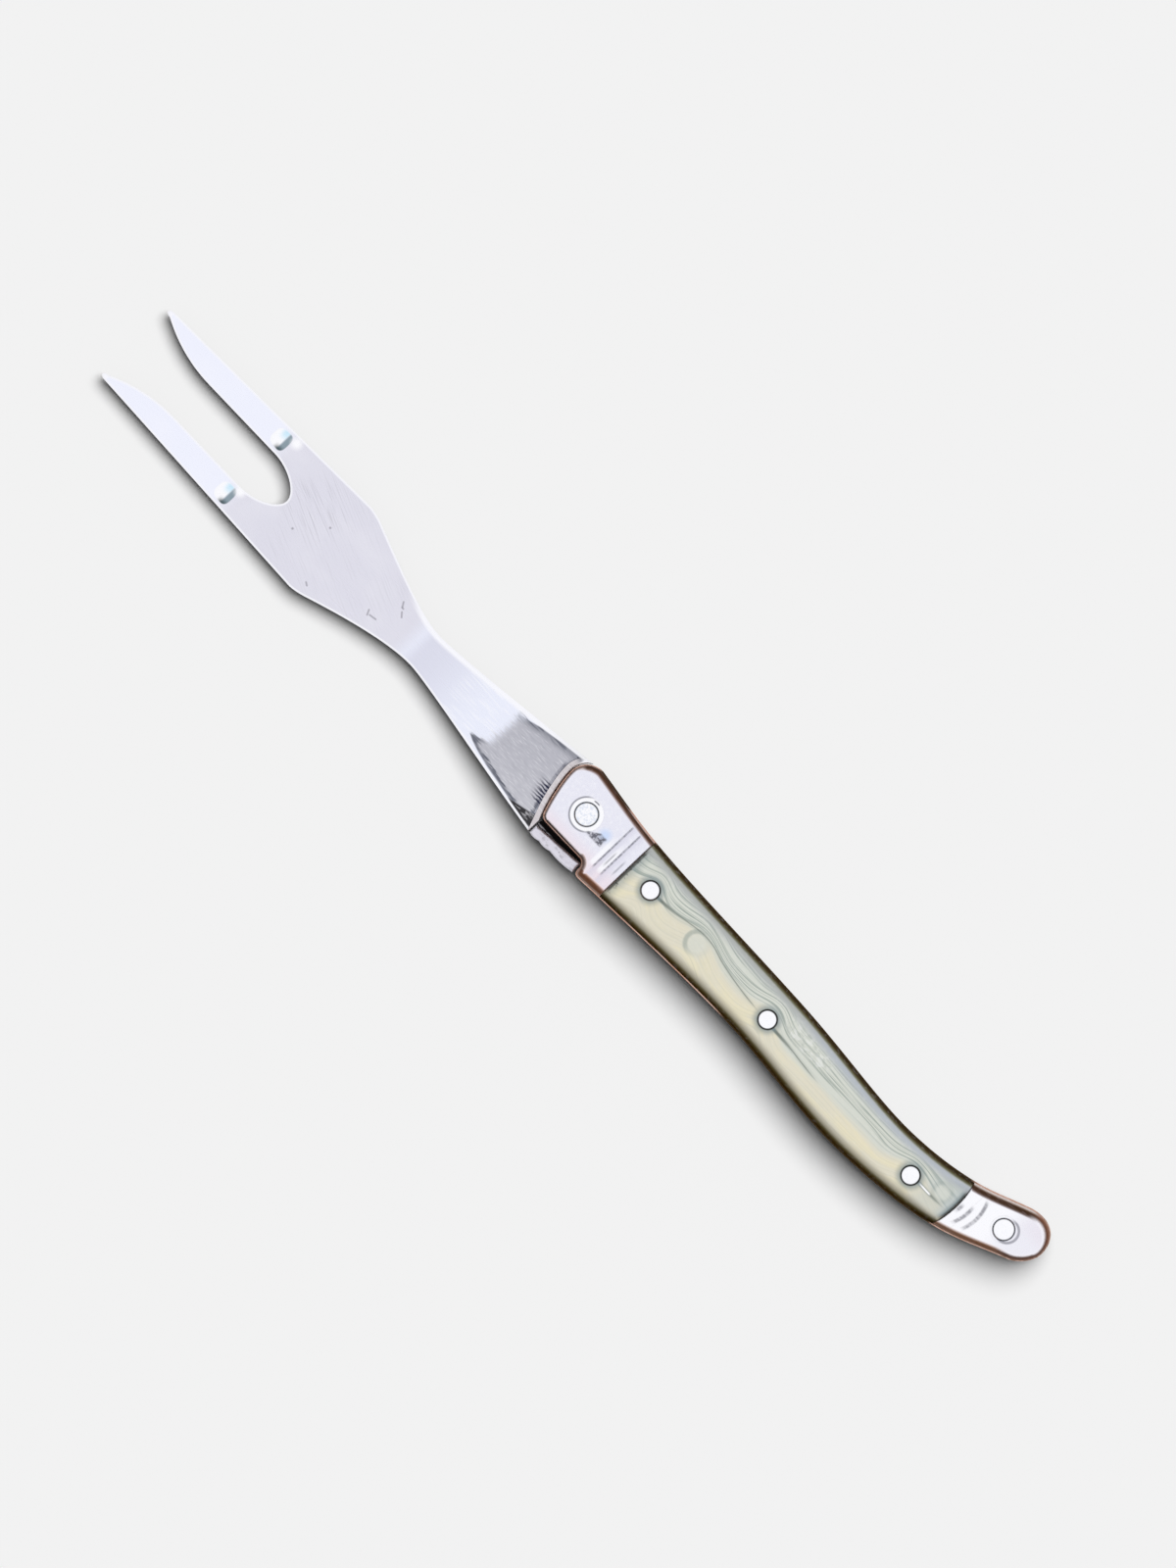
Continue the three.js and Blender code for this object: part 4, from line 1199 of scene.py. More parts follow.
    def grooves(self, paint: Paint, brush: Signal) -> None:
        """Paints shade along the filed grooves, darkens the short marks, and adds a painted highlight in
        front of each front groove and a lilac painted reflection on the slope behind it.

        Args:
            paint: The paint.
            brush: Brush lines along the fork.
        """
        x, y = paint.x, paint.y
        worn = 0.5 + brush.rise(0.35, 0.6) * 0.4
        reach = y.within(-3.9, 5.0, 0.5)
        for place in self.front_grooves:
            slope = x.rise(place - 1.5, place - 0.1) * x.rise(place, place - 0.1)
            paint.lay(slope * 0.5, self.lilac)
            ahead = x.within(place + 0.2, place + 1.0, 0.2) * y.rise(-1.5, 1.5)
            paint.lay(ahead * reach * 0.9, self.bright)
            paint.lay(x.line_at(place, 0.26) * reach * worn, self.pencil)
        reach = y.within(1.0, 3.6, 0.6)
        for place in self.short_marks:
            paint.lay(x.line_at(place, 0.26) * reach * 0.55, self.pencil)
        # The wavy rear marks are painted shade along the rear grooves, with one more mark in front of them.
        for place, low, high in self.rear_marks:
            curve = (y + 0.4) ** 2 * 0.07 + place - 0.3
            reach = y.within(low, high, 0.6)
            paint.lay(x.line_at(curve, 0.5) * reach * worn * 0.8, self.scuff)

    def rear_pin_ring(self, paint: Paint, pin: Fastener) -> None:
        """Paints shade along the crescent that the offset spot face leaves behind the rear pin."""
        centre = (pin.place[0] - 0.55, pin.place[1] - 0.2)
        radius = paint.from_point(centre)
        tailward = (centre[0] + 0.6 - paint.x).rise(-0.6, 1.0)
        paint.lay(radius.line_at(1.95, 0.34) * tailward * 0.75, self.pencil)


@dataclass(frozen=True)
class MarbledResin:
    """Marbled resin, grey-green along the belly and cream along the spine, with painted shade over its
    rounded edges and its belly side.
    """

    green: Colour = srgb(213, 216, 207)
    cream: Colour = srgb(223, 218, 199)
    stain: Colour = srgb(231, 223, 193)
    blue: Colour = srgb(184, 193, 194)
    slate: Colour = srgb(179, 186, 196)
    vein: Colour = srgb(150, 161, 154)
    dark_vein: Colour = srgb(104, 112, 104)
    halo: Colour = srgb(124, 140, 144)
    ring: Colour = srgb(48, 48, 46)
    side: Colour = srgb(150, 149, 126)
    wall_top: float = 3.25
    edge_reach: float = 2.8
    belly_edge: Stops = stops(
        (0.0, 44, 35, 20), (0.11, 58, 46, 29), (0.18, 78, 69, 43), (0.27, 112, 112, 92),
        (0.36, 166, 168, 162), (1.0, 182, 185, 183),
    )
    spine_edge: Stops = stops(
        (0.0, 54, 36, 10), (0.09, 70, 51, 18), (0.18, 94, 81, 46), (0.26, 122, 114, 86),
        (0.34, 170, 163, 140), (0.46, 189, 183, 166), (1.0, 204, 198, 182),
    )
    knit_runs: tuple[Pair, ...] = ((-43.5, -17.4), (-58.5, -46.0), (-88.0, -80.3))
    eddy: Pair = (-27.7, 1.5)
    rear_eddy: Pair = (-84.9, 0.5)

    def make(self, datum: Vector, plan: HandlePlan) -> Material:
        """Mixes the finish for the scales of a handle.

        Args:
            datum: The front pin's axis, in metres.
            plan: The handle's plan.

        Returns:
            The finished material.
        """
        paint = Paint("marbled_resin", datum, self.cream)
        x, y = paint.x, paint.y
        flow = paint.field("flow_mm")
        edge = paint.field("edge_mm")
        cloud = paint.noise(9.0, 2.2, 3.0, flow)
        grain = paint.noise(0.8, 0.5)
        sag = x.within(-75.0, -47.0, 3.0) * 1.2
        paint.lay((flow + sag + (cloud - 0.5) * 1.8).rise(-1.0, 0.5), self.green)
        paint.lay(flow.rise(-0.8, -2.2) * cloud.rise(0.44, 0.62) * 0.75, self.stain)
        # Painted blue shade over the belly side of the domed scale, stronger towards the rear.
        paint.lay(flow.rise(1.8, 4.6) * (0.25 + x.rise(-30.0, -60.0) * 0.35), self.blue)
        self.veins(paint, flow)
        self.eddies(paint)
        self.knit_line(paint)
        self.joints(paint, plan, grain)
        # A darker halo round each rivet, and a dark ring over each hole's bevel: the gap, with painted shade
        # in it.
        for fastener in plan.fasteners()[1:4]:
            radius = paint.from_point(fastener.place)
            paint.lay(radius.rise(3.0, 1.5) * 0.8, self.halo)
            paint.lay(radius.rise(1.85, 1.65) * 0.85, self.ring)
        # Painted shade over the rounded edges, with a ramp of its own on each side.
        spine_side = (y - paint.field("middle_mm")).rise(-0.5, 0.5)
        depth = edge / self.edge_reach
        edges = paint.over(paint.ramp(depth, self.belly_edge), spine_side, paint.ramp(depth, self.spine_edge))
        paint.lay((edge + spine_side * 0.5).rise(self.edge_reach, 1.0), edges)
        wall = abs(paint.z).rise(self.wall_top, self.wall_top - 0.25)
        paint.lay(wall * (0.55 + cloud * 0.4), self.side)
        # A painted slate-blue shade in a band just inside the belly edge, stronger towards the rear.
        band = edge.rise(0.8, 1.2) * edge.rise(2.6, 1.2)
        slate = band * (1 - spine_side) * (0.3 + x.rise(-46.0, -57.0) * 0.7)
        paint.lay(slate * 0.8, self.slate)
        paint.lay(grain.rise(0.5, 0.75) * 0.06, WHITE)
        gloss = (edge.rise(0.7, 2.2) * 0.4).larger(wall * 0.7)
        roughness = 0.34 + (cloud - 0.5) * 0.1
        return paint.finish(grain, 0.002, roughness=roughness, coat=gloss, metallic=0.0, specular=0.0)

    def veins(self, paint: Paint, flow: Signal) -> None:
        """Draws the fine flow lines, which arch over the rivets, and the scuffed patch between them.

        Args:
            paint: The paint.
            flow: The distance across the marbling.
        """
        belly = 0.12 + flow.rise(-0.7, 0.5) * 0.88
        wobble = paint.noise(15.0, 2.4, 1.0, flow)
        for spacing, strength in ((0.83, 0.9), (1.31, 0.75), (0.61, 0.5)):
            strand = ((flow / spacing + wobble * 1.5) * (2 * math.pi)).sine().rise(0.62, 1.0)
            patch = paint.noise(13.0, spacing * 1.7, 1.0, flow + spacing * 9.0).rise(0.34, 0.56)
            paint.lay(strand * patch * belly * strength, self.vein)
        scuffed = paint.x.within(-57.5, -47.5, 1.5) * flow.rise(0.1, 1.0)
        blotches = paint.noise(1.2, 0.55, 2.0, flow + 31.0).rise(0.48, 0.66)
        paint.lay(scuffed * 0.4, self.green)
        paint.lay(scuffed * paint.noise(0.9, 0.45).rise(0.5, 0.7) * 0.3, self.vein)
        paint.lay(scuffed * blotches * 0.28, WHITE)

    def eddies(self, paint: Paint) -> None:
        """Draws the round swirls beside the rivets.

        Args:
            paint: The paint.
        """
        radius = paint.from_point(self.eddy)
        ring = radius.line_at(1.95, 0.6) * (0.1 + (paint.x - self.eddy[0]).rise(-1.4, 1.6) * 0.9)
        paint.lay(radius.rise(3.2, 0.8) * 0.75, self.green)
        paint.lay(ring * 0.6, self.vein)
        rear = paint.from_point(self.rear_eddy)
        # Painted blue shade towards the rear joint.
        paint.lay(paint.x.rise(-80.5, -83.5) * 0.4, self.blue)
        paint.lay(rear.rise(1.7, 0.7) * 0.7, self.green)
        paint.lay(rear.line_at(1.6, 0.5) * 0.2, self.vein)

    def knit_line(self, paint: Paint) -> None:
        """Draws the thin dark line that runs from rivet to rivet.

        Args:
            paint: The paint.
        """
        knit = paint.field("knit_mm")
        for rear, front in self.knit_runs:
            span = paint.x.rise(rear, rear + 4.0) * paint.x.rise(front + 0.3, front - 0.3)
            near = paint.x.rise(front - 7.0, front)
            paint.lay(abs(knit).rise(0.55, 0.0) * span * (0.3 + near * 0.5), self.vein)
            thin = abs(knit).rise(0.16, 0.04) * 0.65
            thick = abs(knit).rise(0.36, 0.12) * near
            paint.lay(thin.larger(thick) * span * 0.95, self.dark_vein)
        glint = paint.x.within(-83.7, -81.2, 0.3) * knit.line_at(0.0, 0.24)
        paint.lay(glint, WHITE)

    def joints(self, paint: Paint, plan: HandlePlan, grain: Signal) -> None:
        """Darkens the resin where it meets the bolsters: the dark joint lines and specks, with painted shade
        and painted blue shade beside them.

        Args:
            paint: The paint.
            plan: The handle's plan.
            grain: Fine grain, around a half.
        """
        from_front = plan.front_joint - paint.x
        paint.lay(from_front.rise(2.2, 0.2) * 0.55, self.halo)
        specks = paint.noise(0.45, 0.45).rise(0.56, 0.68)
        paint.lay(from_front.rise(1.2, 0.3) * specks * 0.75, self.ring)
        paint.lay(from_front.rise(0.6, 0.25) * 0.85, self.ring)
        from_rear = paint.field("rear_mm")
        paint.lay(from_rear.rise(2.2, 0.6) * 0.6, self.blue)
        paint.lay(from_rear.rise(1.1, 0.3) * (0.6 + grain * 0.4), self.halo)
        paint.lay(from_rear.rise(0.5, 0.15) * 0.8, self.ring)


@dataclass(frozen=True)
class LinerCopper:
    """Copper-coloured sheet, polished by the bolsters and along the front of the spine, else tarnished."""

    bright: Colour = srgb(228, 196, 182)
    copper: Colour = srgb(204, 158, 136)
    tarnish: Colour = srgb(72, 55, 30)

    def make(self, datum: Vector) -> Material:
        """Mixes the finish for pieces around a datum.

        Args:
            datum: The front pin's axis, in metres.

        Returns:
            The finished material.
        """
        paint = Paint("liner_copper", datum, self.tarnish)
        brush = paint.noise(5.0, 0.3)
        spine = paint.y.rise(0.0, 3.0)
        front_spine = spine * paint.x.rise(-40.0, -36.0)
        front_belly = (1 - spine) * paint.x.within(-11.2, -4.5, 0.6)
        nose = paint.x.rise(3.0, 4.4)
        polished = front_spine.larger(front_belly).larger(paint.x.rise(-86.5, -88.5)).larger(nose)
        paint.lay(polished * (0.45 + paint.x.rise(-100.0, -97.0) * 0.55), self.copper)
        paint.lay(polished * brush.rise(0.35, 0.65) * 0.8, self.bright)
        return paint.finish(brush, 0.004, roughness=0.3 + brush * 0.15, metallic=1.0)


@dataclass(frozen=True)
class PinSteel:
    """Bright polished steel with a fine grain, and painted shade on its rounded edge."""

    grey: Colour = srgb(222, 229, 242)
    edge: Colour = srgb(116, 123, 130)

    def make(self, datum: Vector) -> Material:
        """Mixes the finish for pieces around a datum.

        Args:
            datum: The front pin's axis, in metres.

        Returns:
            The finished material.
        """
        paint = Paint("bright_pin_steel", datum, WHITE)
        rim = paint.field("edge_mm")
        grain = paint.noise(0.35, 0.35)
        front_pin = paint.x.rise(-8.0, -6.0)
        paint.lay(grain.rise(0.42, 0.65) * (0.1 + front_pin * 0.7), self.grey)
        # Painted shade on the rounded edge.
        paint.lay(rim.rise(0.2, 0.03) * 0.7, self.edge)
        return paint.finish(grain, 0.004, roughness=0.2 + grain * 0.1, metallic=1.0)


@dataclass(frozen=True)
class CastSteel:
    """Rough light grey cast metal."""

    light: Colour = srgb(224, 222, 231)
    grey: Colour = srgb(184, 182, 188)
    dark: Colour = srgb(112, 110, 112)

    def make(self, datum: Vector) -> Material:
        """Mixes the finish for pieces around a datum.

        Args:
            datum: The front pin's axis, in metres.

        Returns:
            The finished material.
        """
        paint = Paint("rough_cast_steel", datum, self.light)
        lumps = paint.noise(0.9, 0.6, 3.0)
        pits = paint.noise(0.35, 0.35)
        edge = paint.field("edge_mm")
        paint.lay(lumps.rise(0.5, 0.7) * 0.6, self.grey)
        paint.lay(pits.rise(0.66, 0.74) * 0.6, self.dark)
        paint.lay(edge.rise(0.3, 0.05) * 0.5, self.grey)
        return paint.finish(lumps + pits, 0.03, roughness=0.4 + lumps * 0.2, metallic=1.0)


@dataclass(frozen=True)
class SpringSteel:
    """Dark unpolished steel inside the handle, painted black for the shadow in the notch."""

    dark: Colour = srgb(20, 19, 19)
    grey: Colour = srgb(96, 92, 90)
    # The lighter grey of the lit wedge in the notch.
    worn: Colour = srgb(176, 174, 178)

    def make(self, datum: Vector) -> Material:
        """Mixes the finish for pieces around a datum.

        Args:
            datum: The front pin's axis, in metres.

        Returns:
            The finished material.
        """
        paint = Paint("dark_spring_steel", datum, self.grey)
        x, y = paint.x, paint.y
        scale = paint.noise(2.5, 0.5, 3.0)
        # In the notch the steel is painted black for the shadow there, except a lighter grey wedge that the
        # light reaches.
        notch_shadow = x.within(-5.6, 4.8, 0.3) * y.rise(4.5, 5.2)
        paint.lay(scale.rise(0.4, 0.7) * 0.6, self.dark)
        wedge = x.rise(0.2, 1.4) * (y - 6.55).rise(0.0, 0.2) * paint.noise(0.8, 0.4).rise(0.35, 0.6)
        paint.lay(notch_shadow, paint.over(self.dark, wedge, self.worn))
        return paint.finish(scale, 0.02, roughness=0.5 + scale * 0.2, metallic=1.0)


# Sub-assemblies


@dataclass(frozen=True)
class HandleSide:
    """The liner, the bolsters and the scale of one side of the handle."""

    side: Side
    plan: HandlePlan
    layers: Layers
    datum: Vector
    belly_rim: float = 1.12
    rear_belly_rim: float = 1.45
    spine_rim: float = 1.45
    rear_spine_rim: float = 1.05
    nose_rim: float = 0.42
    notch_rims: tuple[float, ...] = (0.55, 0.8, 1.15, 1.4)
    tail_rim: float = 0.9
    scale_rim: float = 2.2
    rim_slope: float = 0.9
    wall: float = 1.3
    setback: float = 0.2
    joint_gap: float = 0.12
    joint_bevel: float = 0.14
    hole_clearance: float = 0.1
    hole_bevel: float = 0.12
    groove_depth: float = 0.12
    groove_wall: float = 0.15
    groove_length: float = 1.4
    front_spot_face: float = 2.8
    rear_spot_face: float = 2.2
    spot_face_depth: float = 0.12
    spot_face_bevel: float = 0.15
    liner_bevel: float = 0.1
    liner_spacing: float = 3.0
    rim_steps: int = 7
    hole_sides: int = 40
    spacing: float = 0.42
    cross_reach: float = 12.0
    cross_steps: int = 96
    clip_steps: int = 12
    clip_every: int = 8
    scale_rim_run: float = 6.0
    knit_steps: int = 200
    grooves: tuple[float, ...] = (-6.85, -8.65, -90.1, -91.75)
    knit: tuple[Pair, ...] = (
        (-11.0, 0.7), (-17.8, 0.96), (-21.6, 0.64), (-24.1, 0.16), (-27.3, -0.32), (-29.7, -0.2),
        (-32.9, 0.64), (-37.7, 1.44), (-43.2, 1.92), (-46.3, 2.08), (-50.5, 2.25), (-53.7, 2.57),
        (-58.5, 2.9), (-70.0, 2.6), (-80.4, 2.2), (-83.9, 2.24), (-88.5, 2.05),
    )
    arches: tuple[tuple[float, float, float, float], ...] = (
        (-16.2, 2.0, 2.4, 2.4), (-27.7, 2.2, 4.2, 4.6), (-44.7, 2.2, 3.4, 3.0), (-78.9, 2.3, 3.4, 6.0),
    )
    arch_reach: float = 7.0
    typical_reach: float = 5.6

    def build(self) -> Pieces:
        """Builds the side's four pieces, by the name of the node that each replaces.

        Returns:
            The liner, the bolsters and the scale.
        """
        outline = self.plan.outline()
        pieces = {f"{self.side.label}_liner": self.build_liner(outline)}
        pieces.update(self.build_covers(outline))
        for node, piece in pieces.items():
            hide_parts(node)
        return pieces

    def dress(self, pieces: Pieces, finishes: Finishes) -> None:
        """Gives each piece its finish."""
        slots = {"liner": "liner_copper", "bolster": "bolster_steel", "scale": "marbled_resin"}
        for node, piece in pieces.items():
            slot = slots[node.rsplit("_", 1)[1]]
            dress(piece, finishes[slot])

    def build_liner(self, outline: Points) -> Piece:
        """Builds the liner, a flat plate with slightly broken edges.

        Args:
            outline: The handle's outline.

        Returns:
            The piece.
        """
        inner = inset(outline, self.liner_bevel)
        patch = Patch.fill(outline, [inner], [], self.liner_spacing)
        distance = nearest(patch.places, outline, True)[0]
        broken = self.liner_bevel * (1 - np.clip(distance / self.liner_bevel, 0.0, 1.0))
        top = self.layers.cover_level - broken
        bottom = np.full(len(top), self.layers.liner_level)
        return patch.solid(f"{self.side.label}_liner_plate", self.datum, top, bottom, {}, self.side)

    def rims(self, outline: Points) -> Values:
        """The width of the rounded rim at each point of the outline.

        Args:
            outline: The handle's outline.

        Returns:
            One width for each point.
        """
        plan = self.plan
        runs = plan.runs()
        nose, tail = (self.nose_rim,) * 3, (self.tail_rim,) * 2
        widths = (self.belly_rim, *nose, *self.notch_rims, self.spine_rim, *tail)
        rims = np.concatenate([np.full(len(run) - 1, width) for run, width in zip(runs, widths)])
        x, y = outline[:, 0], outline[:, 1]
        cheek_x, cheek_y = plan.cheek
        round_cheek = smooth_step(-y, plan.nose_belly + 0.4, -cheek_y) * (x > cheek_x - WELD_DISTANCE)
        rims = np.maximum(rims, self.nose_rim + (self.belly_rim - self.nose_rim) * round_cheek)
        on_spine = y > np.interp(x, (plan.tail, plan.rear_joint), (-3.0, 0.0))
        behind = x < plan.rear_joint
        rims[behind & on_spine] = self.rear_spine_rim
        to_belly = smooth_step(-y, plan.tail_drop, plan.tail_belly)
        rear_belly = self.tail_rim + (self.rear_belly_rim - self.tail_rim) * to_belly
        on_tail = x < plan.tail + plan.tail_belly_round
        rims = np.where(behind & ~on_spine, np.where(on_tail, rear_belly, self.rear_belly_rim), rims)
        in_scale = smooth_step(x, plan.rear_joint, plan.rear_joint + self.scale_rim_run)
        in_scale *= smooth_step(-x, -plan.front_joint, self.scale_rim_run - plan.front_joint)
        return eased(rims + (self.scale_rim - rims) * in_scale, outline, self.rim_slope)

    def holes(self) -> list[tuple[Points, float]]:
        """The centre and the radius of the hole for each pin and rivet."""
        return [
            (np.array(fastener.place), fastener.diameter / 2 + self.hole_clearance)
            for fastener in self.plan.fasteners()
        ]

    def recesses(self) -> list[tuple[Points, float, float, float]]:
        """The centre, radius, bevel and depth of each hole's mouth and of the two spot faces."""
        front_pin, *_, rear_pin = (np.array(fastener.place) for fastener in self.plan.fasteners())
        spots = ((front_pin, self.front_spot_face), (rear_pin, self.rear_spot_face))
        mouth, spot_face = (self.hole_bevel, self.hole_bevel), (self.spot_face_bevel, self.spot_face_depth)
        return [(*hole, *mouth) for hole in self.holes()] + [(*spot, *spot_face) for spot in spots]

    def build_covers(self, outline: Points) -> Pieces:
        """Builds the two bolsters and the scale from one patch, cut at the joints.

        Args:
            outline: The handle's outline.

        Returns:
            The pieces, by the name of the node that each replaces.
        """
        plan, label = self.plan, self.side.label
        base = inset(outline, self.setback)
        rims = self.rims(outline)
        loops = [inset(base, rims * step / self.rim_steps) for step in range(1, self.rim_steps + 1)]
        for centre, radius, bevel, _ in self.recesses():
            loops += [circle(centre, size, self.hole_sides) for size in (radius, radius + bevel)]
        patch = Patch.fill(base, loops, self.cross_lines(base), self.spacing, rims)
        solid_part = patch.part(self.outside_holes)
        front_edge = plan.front_joint + self.joint_gap
        regions = {
            "front_bolster": lambda m: m[:, 0] > front_edge,
            "scale": lambda m: (m[:, 0] < plan.front_joint) & (m[:, 0] > plan.rear_joint_at(m[:, 1])),
            "rear_bolster": lambda m: m[:, 0] < plan.rear_joint_at(m[:, 1]) - self.joint_gap,
        }
        pieces = {}
        for name, region in regions.items():
            part = solid_part.part(region)
            top, fields = self.cover_surface(part.places, base, rims)
            bottom = np.full(len(top), self.layers.cover_level)
            piece = part.solid(f"{label}_{name}_plate", self.datum, top, bottom, fields, self.side)
            pieces[f"{label}_{name}"] = piece
        return pieces

    def outside_holes(self, middles: Points) -> Values:
        """Tells which triangles don't lie in a hole."""
        keep = np.ones(len(middles), dtype=bool)
        for centre, radius in self.holes():
            keep &= np.linalg.norm(middles - centre, axis=1) > radius * 0.999
        return keep

    def cross_lines(self, base: Points) -> list[Points]:
        """Lines across the covers: both sides of the joints, their bevels and the edges of the filed grooves.

        Args:
            base: The covers' outline.

        Returns:
            The lines, from the front joint's to the last groove's.
        """
        plan = self.plan
        y = np.linspace(-self.cross_reach, self.cross_reach, self.cross_steps)
        at_joint = (-self.joint_bevel, 0.0, self.joint_gap, self.joint_gap + self.joint_bevel)
        at_groove = (self.groove_wall, 0.0, -self.groove_length)
        lines = [np.full(len(y), plan.front_joint + offset) for offset in at_joint]
        lines += [plan.rear_joint_at(y) - offset for offset in at_joint]
        lines += [np.full(len(y), place + offset) for place in self.grooves for offset in at_groove]
        return [self.clipped(np.column_stack((x, y)), base) for x in lines]

    def clipped(self, line: Points, base: Points) -> Points:
        """The stretch of a line across the handle that lies on its covers, run out to their edge."""
        fine = np.vstack([straight(a, b, self.clip_steps) for a, b in zip(line, line[1:])])
        kept = fine[inside(fine, base)]
        count = max(len(kept) // self.clip_every, 2)
        return kept[np.linspace(0, len(kept) - 1, count).astype(int)]

    def cover_surface(self, places: Points, base: Points, rims: Values) -> tuple[Values, Fields]:
        """Shapes the outer surface of the bolsters and scales.

        Args:
            places: The plan places.
            base: The covers' outline.
            rims: The width of the rim at each point of the outline.

        Returns:
            The height at each place, and the values that the finishes read.
        """
        x, y = places[:, 0], places[:, 1]
        plan = self.plan
        distance, spot = nearest(places, base, True)
        share = np.clip(distance / along(rims, spot), 0.0, 1.0)
        foot = self.layers.cover_level + self.wall
        top = foot + (self.layers.face_level - foot) * np.sin(share * math.pi / 2)
        reach = smooth_step(share, 0.6, 1.0)
        for place in self.grooves:
            behind = (place - x) / self.groove_length
            cut = np.where(behind < 0, 1 + (place - x) / self.groove_wall, 1 - behind)
            top -= self.groove_depth * np.clip(cut, 0.0, 1.0) * reach
        for centre, radius, bevel, depth in self.recesses():
            away = np.linalg.norm(places - centre, axis=1)
            top -= depth * np.clip((radius + bevel - away) / bevel, 0.0, 1.0)
        from_joints = (x - plan.front_joint, plan.rear_joint_at(y) - x)
        to_joint = np.min([abs(away - gap) for away in from_joints for gap in (0.0, self.joint_gap)], axis=0)
        top -= (self.joint_bevel - np.minimum(to_joint, self.joint_bevel)) * smooth_step(share, 0.1, 0.6)
        middle = (height_along(plan.belly(), x) + height_along(plan.spine(), x)) / 2
        fields = {
            "edge_mm": distance,
            "rim_share": share,
            "rim_mm": along(rims, spot),
            "middle_mm": middle,
            "rear_mm": x - plan.rear_joint_at(y),
            "flow_mm": self.flow(places),
            "knit_mm": self.knit_offset(places),
        }
        return top, fields

    def flow(self, places: Points) -> Values:
        """How far a place lies from the rivets' line along the marbling, which arches over the rivets.

        Args:
            places: The plan places.

        Returns:
            The distance at each place, towards the belly.
        """
        x, y = places[:, 0], places[:, 1]
        rivets = np.array([fastener.place for fastener in self.plan.fasteners()[1:4]])
        line = height_along(rivets, x)
        rise = line - y
        reach = line - height_along(self.plan.belly(), x)
        lifted = rise.copy()
        for centre, lift, length_front, length_rear in self.arches:
            length = np.where(x > centre, length_front, length_rear)
            fading = np.exp(-np.maximum(rise, 0.0) / self.arch_reach)
            lifted -= lift * np.exp(-(((x - centre) / length) ** 2)) * fading
        return lifted * self.typical_reach / reach

    def knit_offset(self, places: Points) -> Values:
        """How far a place lies across the thin line that runs from rivet to rivet."""
        line = smooth_through(plan_points(*self.knit), self.knit_steps)
        return places[:, 1] - height_along(line, places[:, 0])


class EdgeKind(Enum):
    """The kinds of edge round the fork's blade."""

    BELLY = "belly"
    SPINE = "spine"
    TINE = "tine"
    NOSE = "nose"


